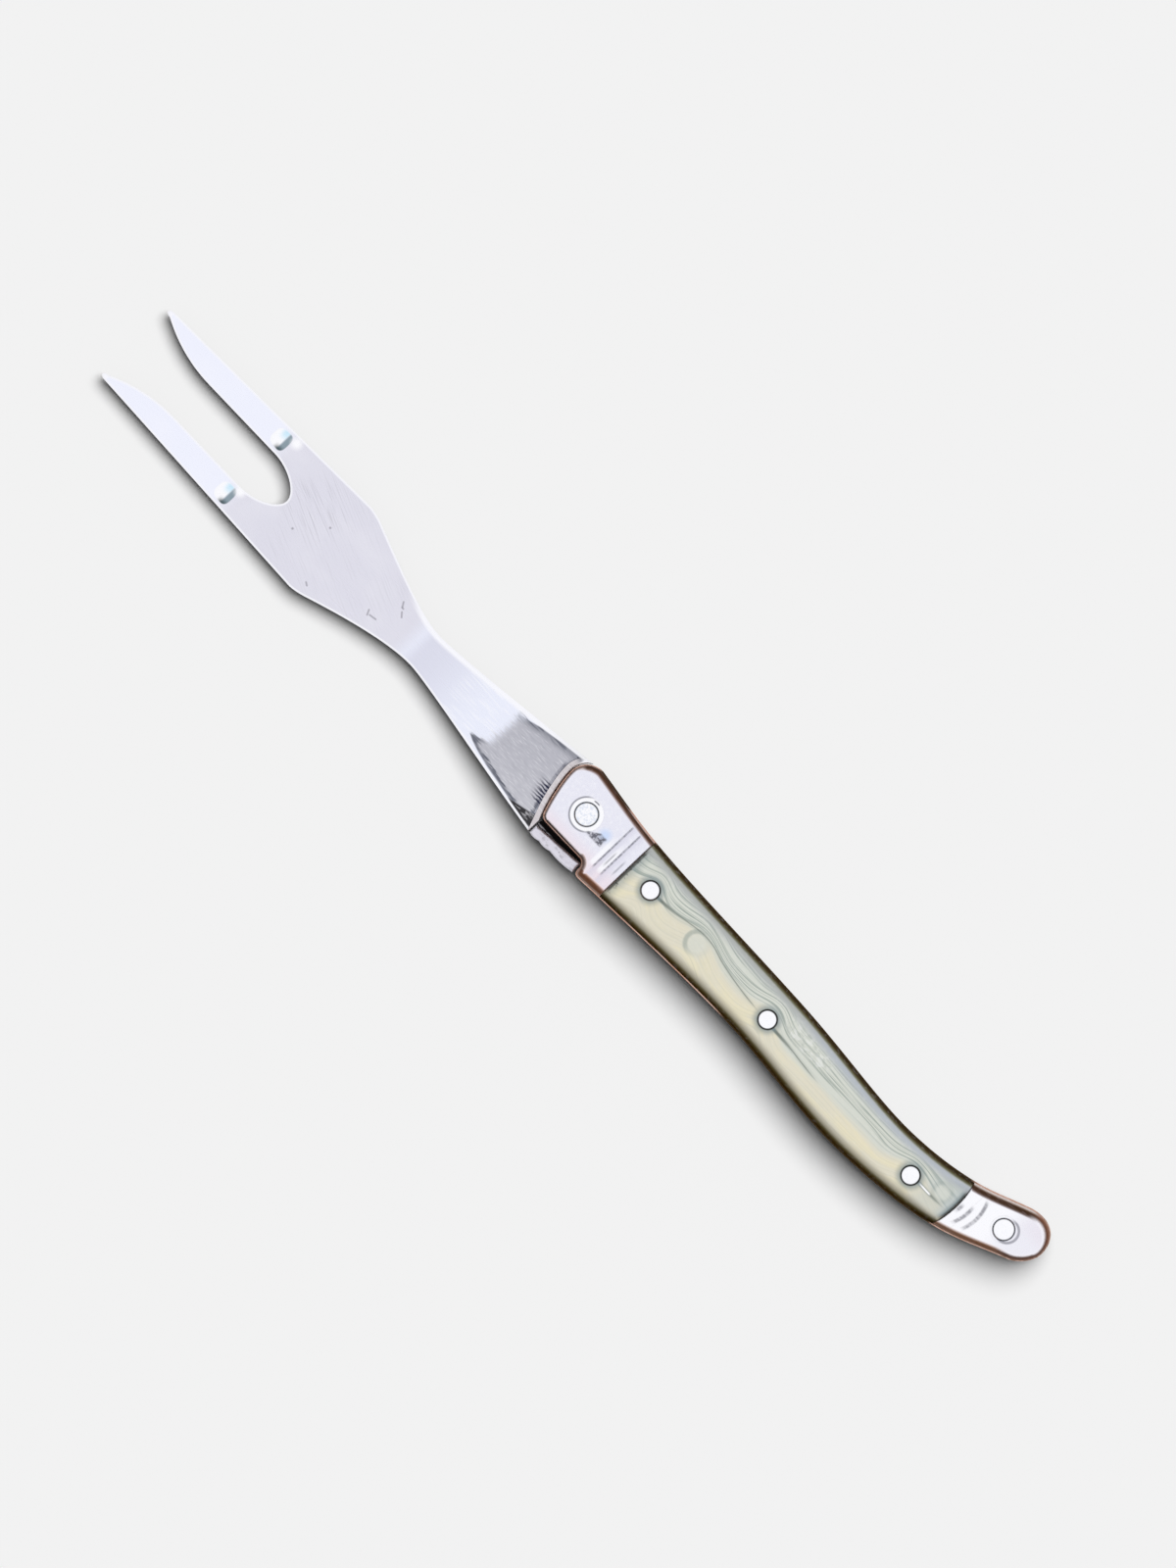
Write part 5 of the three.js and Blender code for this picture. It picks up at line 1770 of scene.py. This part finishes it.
@dataclass(frozen=True)
class ForkBlade:
    """The head with its tines, the neck, the shank, the heel and the tang."""

    plan: HandlePlan
    layers: Layers
    datum: Vector
    shank_length: float = 37.7
    taper_length: float = 22.0
    body_length: float = 11.4
    tine_length: float = 36.0
    thickness: float = 1.9
    neck_above_table: float = 2.4
    head_tilt_degrees: float = 1.2
    bevel: float = 0.3
    bevel_drop: float = 0.17
    head_shift: float = 0.19
    shoulder_width: float = 18.7
    shoulder_round: float = 1.2
    tip_width: float = 15.8
    tip_breadth: float = 1.0
    tip_round: float = 0.9
    tip_bevel: float = 0.22
    point_length: float = 13.4
    point_ease: float = 6.6
    slot_width: float = 7.9
    slot_round: float = 7.0
    slot_fullness: float = 0.48
    bend_degrees: float = 1.2
    bend_softness: float = 1.6
    bump_ahead_of_bend: float = 0.65
    bump_tip_length: float = 2.1
    bump_handle_length: float = 1.3
    bump_height: float = 0.58
    bump_to_tine_edge: float = 0.6
    bump_squareness: float = 3.0
    dimple_depth: float = 0.4
    neck_belly: float = 2.69
    neck_spine: float = 4.03
    neck_ease: float = 3.7
    taper_ease: float = 4.6
    taper_run: float = 9.7
    taper_slope: float = 0.357
    heel_ahead_of_pin: float = 4.65
    heel_belly: float = 6.6
    heel_height: float = 2.98
    flare_run: float = 14.0
    flare_slope: float = 0.136
    ramp_length: float = 18.0
    ramp_drop: float = 0.25
    land_width: float = 1.0
    land_step: float = 0.12
    shank_belly_bevel: float = 0.8
    shank_spine_bevel: float = 1.5
    shank_edge: float = 2.2
    shank_overlap: float = 2.0
    shoulder_gap: float = 0.15
    nose_bevel: float = 0.12
    rim_slope: float = 0.4
    tang_past_rivet: float = 4.3
    tang_spine: float = 3.95
    tang_setback: float = 0.3
    spacing: float = 0.55
    edge_shares: tuple[float, ...] = (0.2, 0.45, 0.72, 1.0)
    bump_shares: tuple[float, ...] = (1.0, 0.9, 0.75, 0.55, 0.3)
    bump_steps: int = 36
    taper_steps: int = 44
    long_steps: int = 60
    tine_steps: int = 24
    point_steps: int = 20
    tip_steps: int = 6
    slot_steps: int = 22
    corner_steps: int = 8
    runout: Pair = (0.3, 4.0)
    runout_steps: int = 12
    tang_spacing: float = 2.0
    tang_steps: int = 30
    tang_ahead_of_cheek: float = 1.0
    out_of_reach: float = 5.0
    ground_outline: tuple[Pair, ...] = (
        (19.5, -3.3), (19.7, 0.0), (19.9, 3.4), (21.4, 4.1), (23.6, 4.35), (21.65, 5.25), (20.05, 5.75),
        (16.84, 6.45), (13.6, 6.95), (10.43, 7.5), (8.0, 7.95), (4.6, 8.4), (4.6, 6.2), (6.0, 5.9),
        (7.0, 3.2), (7.7, 0.0), (7.4, -3.0), (6.6, -5.85), (11.5, -5.15), (15.5, -4.45),
    )

    @property
    def shoulder(self) -> float:
        """Where the head is widest."""
        return self.shank_length + self.taper_length

    @property
    def slot_bottom(self) -> float:
        """The bottom of the slot between the tines."""
        return self.shoulder + self.body_length

    @property
    def tine_root(self) -> float:
        """Where the tines start and bend up."""
        return self.slot_bottom + self.slot_round

    @property
    def tip(self) -> float:
        """The tips, before the tines are bent."""
        return self.slot_bottom + self.tine_length

    @property
    def heel_spine(self) -> float:
        """The heel's corner on the spine side."""
        return self.plan.notch_floor + self.heel_height

    @property
    def ramp_end(self) -> float:
        """Where the shank has reached its full thickness."""
        return self.plan.nose_ahead_of_pin + self.shoulder_gap + self.land_width

    def build(self) -> Pieces:
        """Builds the blade and its tang."""
        blade = self.build_blade()
        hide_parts("fork_blade")
        return {"fork_blade": blade, "tang": self.build_tang()}

    def dress(self, pieces: Pieces, finishes: Finishes) -> None:
        """Gives the blade and the tang their finish."""
        for piece in pieces.values():
            dress(piece, finishes["blade_steel"])

    def edge_curves(self, side: int, neck: float, heel: float) -> tuple[Points, Points]:
        """The taper and the flare of one edge, each from its front end back.

        Args:
            side: -1 for the belly and 1 for the spine.
            neck: The y of the neck.
            heel: The y of the heel.

        Returns:
            The taper from the shoulder to the neck, and the flare from the neck to the heel.
        """
        shoulder_y = self.head_shift + side * self.shoulder_width / 2
        run_y = shoulder_y - side * self.taper_slope * self.taper_run
        flare_y = heel - side * self.flare_slope * self.flare_run
        taper = bezier(plan_points(
            (self.shoulder, shoulder_y),
            (self.shoulder - self.taper_run, run_y),
            (self.shank_length + self.taper_ease, neck),
            (self.shank_length, neck),
        ), self.taper_steps)
        flare = bezier(plan_points(
            (self.shank_length, neck),
            (self.shank_length - self.neck_ease, neck),
            (self.heel_ahead_of_pin + self.flare_run, flare_y),
            (self.heel_ahead_of_pin, heel),
        ), self.long_steps)
        return taper, flare

    def half_width_at(self, x: float) -> float:
        """Half the width over the tines, which narrows from the shoulders to the tips."""
        share = (x - self.shoulder) / (self.tip - self.shoulder)
        return (self.shoulder_width + (self.tip_width - self.shoulder_width) * share) / 2

    def spine_tine(self) -> Points:
        """The tine on the spine side, from the slot round the tip and back to the shoulder.

        Returns:
            One row for each point.
        """
        slot = self.head_shift + self.slot_width / 2
        round_start = self.tip - self.tip_round
        point_start = self.tip - self.point_length
        outer_y = self.head_shift + self.half_width_at(round_start)
        shoulder_end = self.shoulder + self.shoulder_round
        root, point, ease, inner, inner_corner, tip, outer_corner, outer, back = plan_points(
            (self.tine_root, slot),
            (point_start, slot),
            (point_start + self.point_ease, slot),
            (round_start, outer_y - self.tip_breadth),
            (self.tip, outer_y - self.tip_breadth),
            (self.tip, outer_y - self.tip_breadth / 2),
            (self.tip, outer_y),
            (round_start, outer_y),
            (shoulder_end, self.head_shift + self.half_width_at(shoulder_end)),
        )
        return np.vstack((
            straight(root, point, self.tine_steps)[:-1],
            bezier((point, ease, inner), self.point_steps)[:-1],
            round_corner(inner, inner_corner, tip, self.tip_steps)[:-1],
            round_corner(tip, outer_corner, outer, self.tip_steps)[:-1],
            straight(outer, back, self.long_steps),
        ))

    def mirrored(self, line: Points) -> Points:
        """The same line on the other side of the head's middle, run the other way."""
        other = line.copy()
        other[:, 1] = 2 * self.head_shift - other[:, 1]
        return other[::-1]

    def side_runs(self, side: int) -> tuple[Points, Points]:
        """One side's shoulder and taper as one run, and its flare, each from the front back.

        Args:
            side: -1 for the belly and 1 for the spine.

        Returns:
            The two runs.
        """
        neck, heel = (self.neck_spine, self.heel_spine) if side > 0 else (-self.neck_belly, -self.heel_belly)
        taper, flare = self.edge_curves(side, neck, heel)
        start_x = self.shoulder + self.shoulder_round
        start = np.array((start_x, self.head_shift + side * self.half_width_at(start_x)))
        skipped = 3
        shoulder = round_corner(start, taper[0], taper[skipped], self.corner_steps)
        return np.vstack((shoulder[:-1], taper[skipped:])), flare

    def nose_line(self, distance: float) -> Points:
        """The handle's nose moved ahead, from the cheek past the notch's corner to the heel's wall."""
        cheek, lean, _ = self.plan.nose()
        line = np.vstack((cheek[:-1], lean))
        heading = line[-1] - line[-2]
        heading /= np.linalg.norm(heading)
        line = np.vstack((line, line[-1] + heading * np.linspace(*self.runout, self.runout_steps)[:, None]))
        return line - left_normals(line) * distance

    def outline(self) -> tuple[Points, list[EdgeKind]]:
        """The blade's outline, counterclockwise from its corner at the cheek, with the kind of each point.

        Returns:
            The points, and the kind of edge at each.
        """
        spine_head, spine_flare = self.side_runs(1)
        belly_head, belly_flare = self.side_runs(-1)
        nose = self.nose_line(self.shoulder_gap)
        nose = nose[nose[:, 0] > self.heel_ahead_of_pin]
        belly_y = height_along(belly_flare, nose[:, 0])
        nose = nose[nose[:, 1] > belly_y + 0.02]
        corner = np.array((nose[0, 0], height_along(belly_flare, nose[0, 0])))
        belly_flare = belly_flare[belly_flare[:, 0] > corner[0] + 0.1]
        spine_tine = self.spine_tine()
        slot_bottom = np.array((self.slot_bottom, self.head_shift))
        spine_root = spine_tine[0]
        slot_corner = np.array((self.slot_bottom, spine_root[1]))
        half_slot = round_corner(slot_bottom, slot_corner, spine_root, self.slot_steps, self.slot_fullness)
        slot = np.vstack((self.mirrored(half_slot)[:-1], half_slot))
        heel_top = np.array((self.heel_ahead_of_pin, self.heel_spine))
        heel_foot = np.array((self.heel_ahead_of_pin, nose[-1, 1]))
        runs = [
            (np.vstack((corner, belly_flare[::-1])), EdgeKind.BELLY),
            (belly_head[::-1], EdgeKind.BELLY),
            (self.mirrored(spine_tine), EdgeKind.TINE),
            (slot, EdgeKind.TINE),
            (spine_tine, EdgeKind.TINE),
            (spine_head, EdgeKind.SPINE),
            (spine_flare, EdgeKind.SPINE),
            (straight(heel_top, heel_foot, self.corner_steps), EdgeKind.NOSE),
            (np.vstack((heel_foot, nose[::-1], corner)), EdgeKind.NOSE),
        ]
        kinds = [kind for run, kind in runs for _ in run[:-1]]
        return chain(*[run for run, _ in runs]), kinds

    def ramp_share(self, x: Values) -> Values:
        """How far the shank has risen from the head's thickness to the nose's."""
        return np.clip((self.ramp_end + self.ramp_length - x) / self.ramp_length, 0.0, 1.0)

    def edge_sizes(self, outline: Points, kinds: list[EdgeKind]) -> tuple[Values, Values]:
        """The bevel's width and the wall's half height at each point of the outline.

        Args:
            outline: The blade's outline.
            kinds: The kind of edge at each point.

        Returns:
            The widths and the half heights.
        """
        x = outline[:, 0]
        share = self.ramp_share(x)
        behind_tip = np.maximum(self.tip - self.tip_round - x, 0.0)
        tips = np.minimum(self.bevel, self.tip_bevel + self.rim_slope * behind_tip)
        head_wall = self.thickness / 2 - self.bevel_drop
        wall = head_wall + (self.shank_edge / 2 - head_wall) * share
        widths = {
            EdgeKind.BELLY: self.bevel + (self.shank_belly_bevel - self.bevel) * share,
            EdgeKind.SPINE: self.bevel + (self.shank_spine_bevel - self.bevel) * share,
            EdgeKind.TINE: tips,
            EdgeKind.NOSE: np.full(len(x), self.nose_bevel),
        }
        nose_wall = self.layers.cover_level - self.nose_bevel
        width = np.array([widths[kind][number] for number, kind in enumerate(kinds)])
        walls = np.array([nose_wall if kind is EdgeKind.NOSE else wall[n] for n, kind in enumerate(kinds)])
        return eased(width, outline, self.rim_slope), eased(walls, outline, 1.0)

    def bump_centres(self) -> list[Points]:
        """The middle of the bump on each tine."""
        x = self.tine_root + self.bump_ahead_of_bend
        middle = (self.slot_width / 2 + self.half_width_at(x)) / 2
        return [np.array((x, self.head_shift + side * middle)) for side in (-1, 1)]

    def bump_half_width(self) -> float:
        """Half the width of a bump, which leaves a margin to the tine's edges."""
        x = self.tine_root + self.bump_ahead_of_bend
        return (self.half_width_at(x) - self.slot_width / 2) / 2 - self.bump_to_tine_edge

    def bump_radius(self, places: Points, centre: Points) -> Values:
        """How far out a place lies on a bump: 0 at its top and 1 at its foot."""
        away = places - centre
        length = np.where(away[:, 0] > 0, self.bump_tip_length, self.bump_handle_length)
        power = self.bump_squareness
        total = abs(away[:, 0] / length) ** power + abs(away[:, 1] / self.bump_half_width()) ** power
        return total ** (1 / power)

    def bump_loops(self) -> list[Points]:
        """Closed lines round each bump, from its foot to its top.

        Returns:
            The loops of both bumps.
        """
        turn = np.linspace(0.0, 2 * math.pi, self.bump_steps, endpoint=False)
        power = 2 / self.bump_squareness
        u = np.sign(np.cos(turn)) * abs(np.cos(turn)) ** power
        v = np.sign(np.sin(turn)) * abs(np.sin(turn)) ** power
        length = np.where(u > 0, self.bump_tip_length, self.bump_handle_length)
        shape = np.column_stack((u * length, v * self.bump_half_width()))
        return [centre + shape * size for centre in self.bump_centres() for size in self.bump_shares]

    def build_blade(self) -> Piece:
        """Builds the blade from its outline and its two surfaces.

        Returns:
            The piece.
        """
        outline, kinds = self.outline()
        widths, walls = self.edge_sizes(outline, kinds)
        loops = [inset(outline, widths * share) for share in self.edge_shares] + self.bump_loops()
        inner = loops[len(self.edge_shares) - 1]
        land_end = self.shoulder_gap + self.land_width
        land_lines = [self.nose_line(land_end + step) for step in (0.0, self.land_step)]
        land_lines = [line[inside(line, inner)] for line in land_lines]
        patch = Patch.fill(outline, loops, land_lines, self.spacing, widths)
        places = patch.places
        x = places[:, 0]
        distance, spot = nearest(places, outline, True)
        share = np.clip(distance / along(widths, spot), 0.0, 1.0)
        wall = along(walls, spot)
        land, _ = nearest(places, self.nose_line(self.shoulder_gap), False)
        flat = self.thickness / 2
        full = self.layers.cover_level - self.ramp_drop
        face = flat + (full - flat) * self.ramp_share(x) ** 2
        face += self.ramp_drop * np.clip((self.land_width + self.land_step - land) / self.land_step, 0.0, 1.0)
        round_edge = np.sin(share * math.pi / 2)
        surface = wall + (face - wall) * (share + (round_edge - share) * self.ramp_share(x))
        centres = self.bump_centres()
        bump = sum(np.clip(1 - self.bump_radius(places, centre) ** 2, 0.0, 1.0) for centre in centres)
        to_spine = np.where(
            abs(places[:, 1] - centres[0][1]) < abs(places[:, 1] - centres[1][1]),
            places[:, 1] - centres[0][1], places[:, 1] - centres[1][1],
        )
        lift = self.bend_lift(x) - self.drop(x)
        top = surface + bump * self.bump_height + lift
        bottom = -surface + bump * self.dimple_depth + lift
        fields = {
            "edge_mm": distance,
            "ground_mm": self.ground_depth(places),
            "land_mm": land,
            "bump_rise": bump,
            "bump_across": to_spine / self.bump_half_width(),
        }
        bent = Patch(self.drawn_in(places), patch.triangles)
        return bent.solid("satin_fork_blade", self.datum, top, bottom, fields)

    def drop(self, x: Values) -> Values:
        """How far the blade has come down from the level of the handle's middle."""
        neck = self.shank_length - self.shank_overlap
        at_neck = self.layers.face_level - self.thickness / 2 - self.neck_above_table
        tilt = math.tan(math.radians(self.head_tilt_degrees))
        return at_neck * smooth_step(x, self.ramp_end, neck) + tilt * np.maximum(x - neck, 0.0)

    def bend_lift(self, x: Values) -> Values:
        """How far the bend lifts the tines, with a soft start."""
        ahead = x - self.tine_root
        eased_in = (ahead + np.sqrt(ahead**2 + self.bend_softness**2)) / 2
        slope = math.tan(math.radians(self.bend_degrees))
        return np.where(ahead > -4 * self.bend_softness, eased_in, 0.0) * slope

    def drawn_in(self, places: Points) -> Points:
        """The places with the tines drawn back by what their bend takes from their reach."""
        bent = places.copy()
        ahead = np.maximum(bent[:, 0] - self.tine_root, 0.0)
        bent[:, 0] -= ahead * (1 - math.cos(math.radians(self.bend_degrees)))
        return bent

    def ground_depth(self, places: Points) -> Values:
        """How far a place lies inside the coarse ground zone, negative outside."""
        zone = plan_points(*self.ground_outline)
        distance, _ = nearest(places, zone, True)
        return np.where(inside(places, zone), distance, -distance)

    def build_tang(self) -> Piece:
        """Builds the tang, which runs between the liners past the front rivet.

        Returns:
            The piece, which stays hidden in the handle.
        """
        rivet = self.plan.fasteners()[1]
        back = rivet.place[0] - self.tang_past_rivet
        front = self.plan.cheek[0] + self.tang_ahead_of_cheek
        belly_x = np.linspace(back, front, self.tang_steps)
        belly = np.column_stack((belly_x, height_along(self.plan.belly(), belly_x) + self.tang_setback))
        belly[-1, 1] = belly[-2, 1]
        outline = np.vstack((belly, plan_points((front, self.tang_spine), (back, self.tang_spine))))
        patch = Patch.fill(outline, [], [], self.tang_spacing)
        level = np.full(len(patch.places), self.layers.liner_level)
        far = np.full(len(level), self.out_of_reach)
        fields = {key: far for key in ("edge_mm", "land_mm")}
        fields |= {key: -far for key in ("ground_mm", "bump_rise", "bump_across")}
        return patch.solid("hidden_tang", self.datum, level, -level, fields)


@dataclass(frozen=True)
class SpringParts:
    """The back spring inside the handle and the cast head on its front end."""

    plan: HandlePlan
    datum: Vector
    nodes: Pieces
    heel_ahead_of_pin: float = 4.65
    heel_height: float = 2.98
    slit_front: float = 1.35
    slit_rear: float = 0.52
    end_gap: float = 0.3
    thickness: float = 5.2
    bevel: float = 0.4
    crown: float = 0.2
    front_lobe: float = 2.1
    middle_lobe: float = 2.4
    roughness: float = 0.05
    roughness_length: float = 0.6
    spacing: float = 0.22
    bevel_shares: tuple[float, ...] = (0.25, 0.6, 1.0)
    lobe_steps: int = 10
    seat_steps: int = 24
    side_steps: int = 5

    def build(self) -> Pieces:
        """Builds the head. The spring keeps its own solid.

        Returns:
            The head and the spring, by the node's name.
        """
        front = self.heel_ahead_of_pin - self.end_gap
        rear = -self.plan.notch_behind_pin + self.end_gap
        floor = self.plan.notch_floor
        outer = plan_points((rear, self.plan.notch_spine), (front, floor + self.heel_height))
        valleys = [front, front - self.front_lobe, front - self.front_lobe - self.middle_lobe, rear]
        lobes = []
        for start_x, end_x in zip(valleys, valleys[1:]):
            start, end = (np.array((x, height_along(outer, x))) for x in (start_x, end_x))
            top = (start + end) / 2 + np.array((0.0, 2 * self.crown))
            lobes.append(bezier((start, top, end), self.lobe_steps)[:-1])
        seat_rear, seat_front = plan_points((rear, floor + self.slit_rear), (front, floor + self.slit_front))
        seat = straight(seat_rear, seat_front, self.seat_steps)
        side = straight(seat_front, lobes[0][0], self.side_steps)[1:-1]
        last = plan_points((rear, self.plan.notch_spine))
        outline = np.vstack((seat, side, *lobes, last))
        loops = [inset(outline, self.bevel * share) for share in self.bevel_shares]
        patch = Patch.fill(outline, loops, [], self.spacing, self.bevel)
        distance, _ = nearest(patch.places, outline, True)
        share = np.clip(distance / self.bevel, 0.0, 1.0)
        finer = patch.places / self.roughness_length
        lumps = np.array([noise.noise(Vector((*place, 0.0))) for place in finer])
        surface = self.thickness / 2 - self.bevel * (1 - np.sin(share * math.pi / 2))
        surface += self.roughness * (lumps - 1) * share
        head = patch.solid("cast_spring_head", self.datum, surface, -surface, {"edge_mm": distance})
        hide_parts("spring_head")
        return {"spring_head": head, "back_spring": self.nodes["back_spring"]}

    def dress(self, pieces: Pieces, finishes: Finishes) -> None:
        """Gives the head and the spring their finishes."""
        dress(pieces["spring_head"], finishes["cast_steel"])
        spring = pieces["back_spring"]
        spring.data.materials.clear()
        spring.data.materials.append(finishes["spring_steel"])


@dataclass(frozen=True)
class Fasteners:
    """The pins and rivets, flush with both faces of the handle."""

    plan: HandlePlan
    layers: Layers
    datum: Vector
    sides: int = 56
    dome: float = 0.05
    edge_drop: float = 0.22
    edge_width: float = 0.22
    turning_shares: tuple[float, ...] = (0.35, 0.7, 1.0)

    def build(self) -> Pieces:
        """Turns each pin and rivet."""
        return {fastener.name: self.turned(fastener) for fastener in self.plan.fasteners()}

    def dress(self, pieces: Pieces, finishes: Finishes) -> None:
        """Gives every pin and rivet the bright finish."""
        for piece in pieces.values():
            dress(piece, finishes["pin_steel"])

    def profile(self, radius: float) -> list[Pair]:
        """Radius and height from the middle of the upper face to the middle of the lower one.

        Args:
            radius: The pin's radius.

        Returns:
            One pair for each ring.
        """
        face = self.layers.face_level
        flat = radius - self.edge_width
        upper = [(flat * share, face - self.dome * share**2) for share in self.turning_shares]
        for share in self.turning_shares:
            drop = self.dome + (self.edge_drop - self.dome) * (1 - math.cos(share * math.pi / 2))
            upper.append((flat + self.edge_width * math.sin(share * math.pi / 2), face - drop))
        return upper + [(r, -z) for r, z in reversed(upper)]

    def turned(self, fastener: Fastener) -> Piece:
        """Turns one pin or rivet on its axis.

        Args:
            fastener: Its name, place and diameter.

        Returns:
            The piece, which replaces the node of that name.
        """
        radius = fastener.diameter / 2
        face = self.layers.face_level
        centre = np.array(fastener.place)
        radii, heights = np.array(self.profile(radius)).T
        rings = [
            np.column_stack((circle(centre, ring_radius, self.sides), np.full(self.sides, height)))
            for ring_radius, height in zip(radii, heights)
        ]
        corners = np.vstack(((*centre, face), *rings, (*centre, -face)))
        depths = np.concatenate(([radius], np.repeat(radius - radii, self.sides), [radius]))
        steps = [(k, (k + 1) % self.sides) for k in range(self.sides)]
        starts = [1 + ring * self.sides for ring in range(len(rings))]
        faces = [(0, 1 + here, 1 + there) for here, there in steps]
        for upper, lower in zip(starts, starts[1:]):
            faces += [(upper + here, lower + here, lower + there, upper + there) for here, there in steps]
        last = len(corners) - 1
        faces += [(last, starts[-1] + there, starts[-1] + here) for here, there in steps]
        placed = corners * MM + np.array(self.datum)
        piece = make_piece(f"bright_{fastener.name}", placed, faces, {"edge_mm": depths})
        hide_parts(fastener.name)
        return piece


# Studio


@dataclass(frozen=True)
class Studio:
    """The pale floor, the soft light and the camera straight above the fork."""

    datum: Vector
    floor_colour: Colour = srgb(242, 242, 242)
    bounce_colour: Colour = srgb(0, 0, 0)
    floor_size: float = 9.0
    floor_roughness: float = 0.9
    picture_height: float = 256.6
    picture_middle: Triple = (3.45, -3.6, 3.0)
    up: Pair = (0.7242, -0.6896)
    lens: float = 300.0
    sensor: float = 36.0
    far_end: float = 20.0
    sun_elevation: float = 69.0
    sun_spread: float = 46.0
    sun_share: float = 0.95
    sky_zenith: float = 1.0
    sky_horizon: float = 0.93

    def build(self) -> None:
        """Sets up the whole studio."""
        scene = bpy.context.scene
        scene.view_settings.view_transform = "Standard"
        self.lay_floor()
        self.hang_sun()
        self.paint_sky(scene)
        self.place_camera(scene)

    def lay_floor(self) -> None:
        """Lays the floor under the fork."""
        half = self.floor_size / 2
        mesh = bpy.data.meshes.new("floor")
        corners = [(-half, -half, 0), (half, -half, 0), (half, half, 0), (-half, half, 0)]
        mesh.from_pydata(corners, [], [(0, 1, 2, 3)])
        floor = bpy.data.objects.new("floor", mesh)
        bpy.context.collection.objects.link(floor)
        paint = Paint("pale_floor", self.datum, self.floor_colour)
        paint.lay(paint.signal("ShaderNodeLightPath", "Diffuse Depth").smaller(1.0), self.bounce_colour)
        paint.surface({"Roughness": self.floor_roughness, "Specular IOR Level": 0.0})
        mesh.materials.append(paint.material)

    def hang_sun(self) -> None:
        """Hangs the wide soft light over the belly side of the fork."""
        lamp = bpy.data.lights.new("soft_sun", "SUN")
        lamp.angle = math.radians(self.sun_spread)
        lamp.energy = self.sun_share * math.pi / math.sin(math.radians(self.sun_elevation))
        sun = bpy.data.objects.new("soft_sun", lamp)
        bpy.context.collection.objects.link(sun)
        tilt = math.radians(90.0 - self.sun_elevation)
        sun.rotation_euler = (tilt, 0.0, 0.0)
        sun.visible_glossy = False

    def paint_sky(self, scene: bpy.types.Scene) -> None:
        """Makes the sky dim as a light and pale as what shiny surfaces mirror.

        Args:
            scene: The scene that the sky is for.
        """
        world = bpy.data.worlds.new("studio_sky")
        world.use_nodes = True
        world.cycles.sampling_method = "NONE"
        scene.world = world
        board = Board(world.node_tree)
        _, _, height = board.parts(board.signal("ShaderNodeTexCoord", "Generated"))
        path = board.node("ShaderNodeLightPath")
        rays = ("Is Camera Ray", "Is Glossy Ray", "Is Transmission Ray")
        camera, glossy, through = (Signal(board, path.outputs[ray]) for ray in rays)
        bounced = Signal(board, path.outputs["Diffuse Depth"]).smaller(1.0)
        pale = self.sky_horizon + height.rise(-0.1, 0.9) * (self.sky_zenith - self.sky_horizon)
        dim = 1 - self.sun_share
        mirrored = camera.larger(glossy).larger(through) * (1 - bounced)
        strength = mirrored * (pale - dim) + dim
        sky = board.signal("ShaderNodeBackground", 0, None, {"Color": WHITE, "Strength": strength})
        board.node("ShaderNodeOutputWorld", None, {"Surface": sky})

    def place_camera(self, scene: bpy.types.Scene) -> None:
        """Places the camera straight above the middle of the picture.

        Args:
            scene: The scene that the camera is for.
        """
        lens = bpy.data.cameras.new("camera")
        lens.lens = self.lens
        lens.sensor_fit = "VERTICAL"
        lens.sensor_height = self.sensor
        lens.clip_end = self.far_end
        camera = bpy.data.objects.new("camera", lens)
        bpy.context.collection.objects.link(camera)
        up = Vector((*self.up, 0.0)).normalized()
        back = Vector((0.0, 0.0, 1.0))
        right = up.cross(back)
        turn = Matrix((right, up, back)).transposed().to_4x4()
        height = self.picture_height * self.lens / self.sensor
        middle = self.datum + Vector(self.picture_middle) * MM
        camera.matrix_world = Matrix.Translation(middle + back * height * MM) @ turn
        scene.camera = camera


def pin_datum() -> Vector:
    """The front pin's axis at the handle's middle plane, in metres."""
    low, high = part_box("front_bolster_pin")
    return (Vector(low) + Vector(high)) / 2


def make_finishes(datum: Vector, plan: HandlePlan) -> Finishes:
    """Mixes every finish, by the name of its slot.

    Args:
        datum: The front pin's axis, in metres.
        plan: The handle's plan.

    Returns:
        The materials.
    """
    return {
        "blade_steel": BladeSteel().make(datum),
        "bolster_steel": BolsterSteel().make(datum, plan),
        "marbled_resin": MarbledResin().make(datum, plan),
        "liner_copper": LinerCopper().make(datum),
        "pin_steel": PinSteel().make(datum),
        "cast_steel": CastSteel().make(datum),
        "spring_steel": SpringSteel().make(datum),
    }


def main() -> None:
    """Builds and dresses the fork around its frame and sets up the studio."""
    logging.basicConfig(level=logging.INFO, format="%(message)s")
    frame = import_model()
    datum = pin_datum()
    plan = HandlePlan()
    layers = Layers()
    finishes = make_finishes(datum, plan)
    assemblies = [
        ForkBlade(plan, layers, datum),
        HandleSide(Side.UPPER, plan, layers, datum),
        HandleSide(Side.LOWER, plan, layers, datum),
        SpringParts(plan, datum, frame["nodes"]),
        Fasteners(plan, layers, datum),
    ]
    for assembly in assemblies:
        pieces = assembly.build()
        assembly.dress(pieces, finishes)
        LOG.info("%s: %d pieces", type(assembly).__name__, len(pieces))
    Studio(datum).build()


if __name__ == "__main__":
    main()
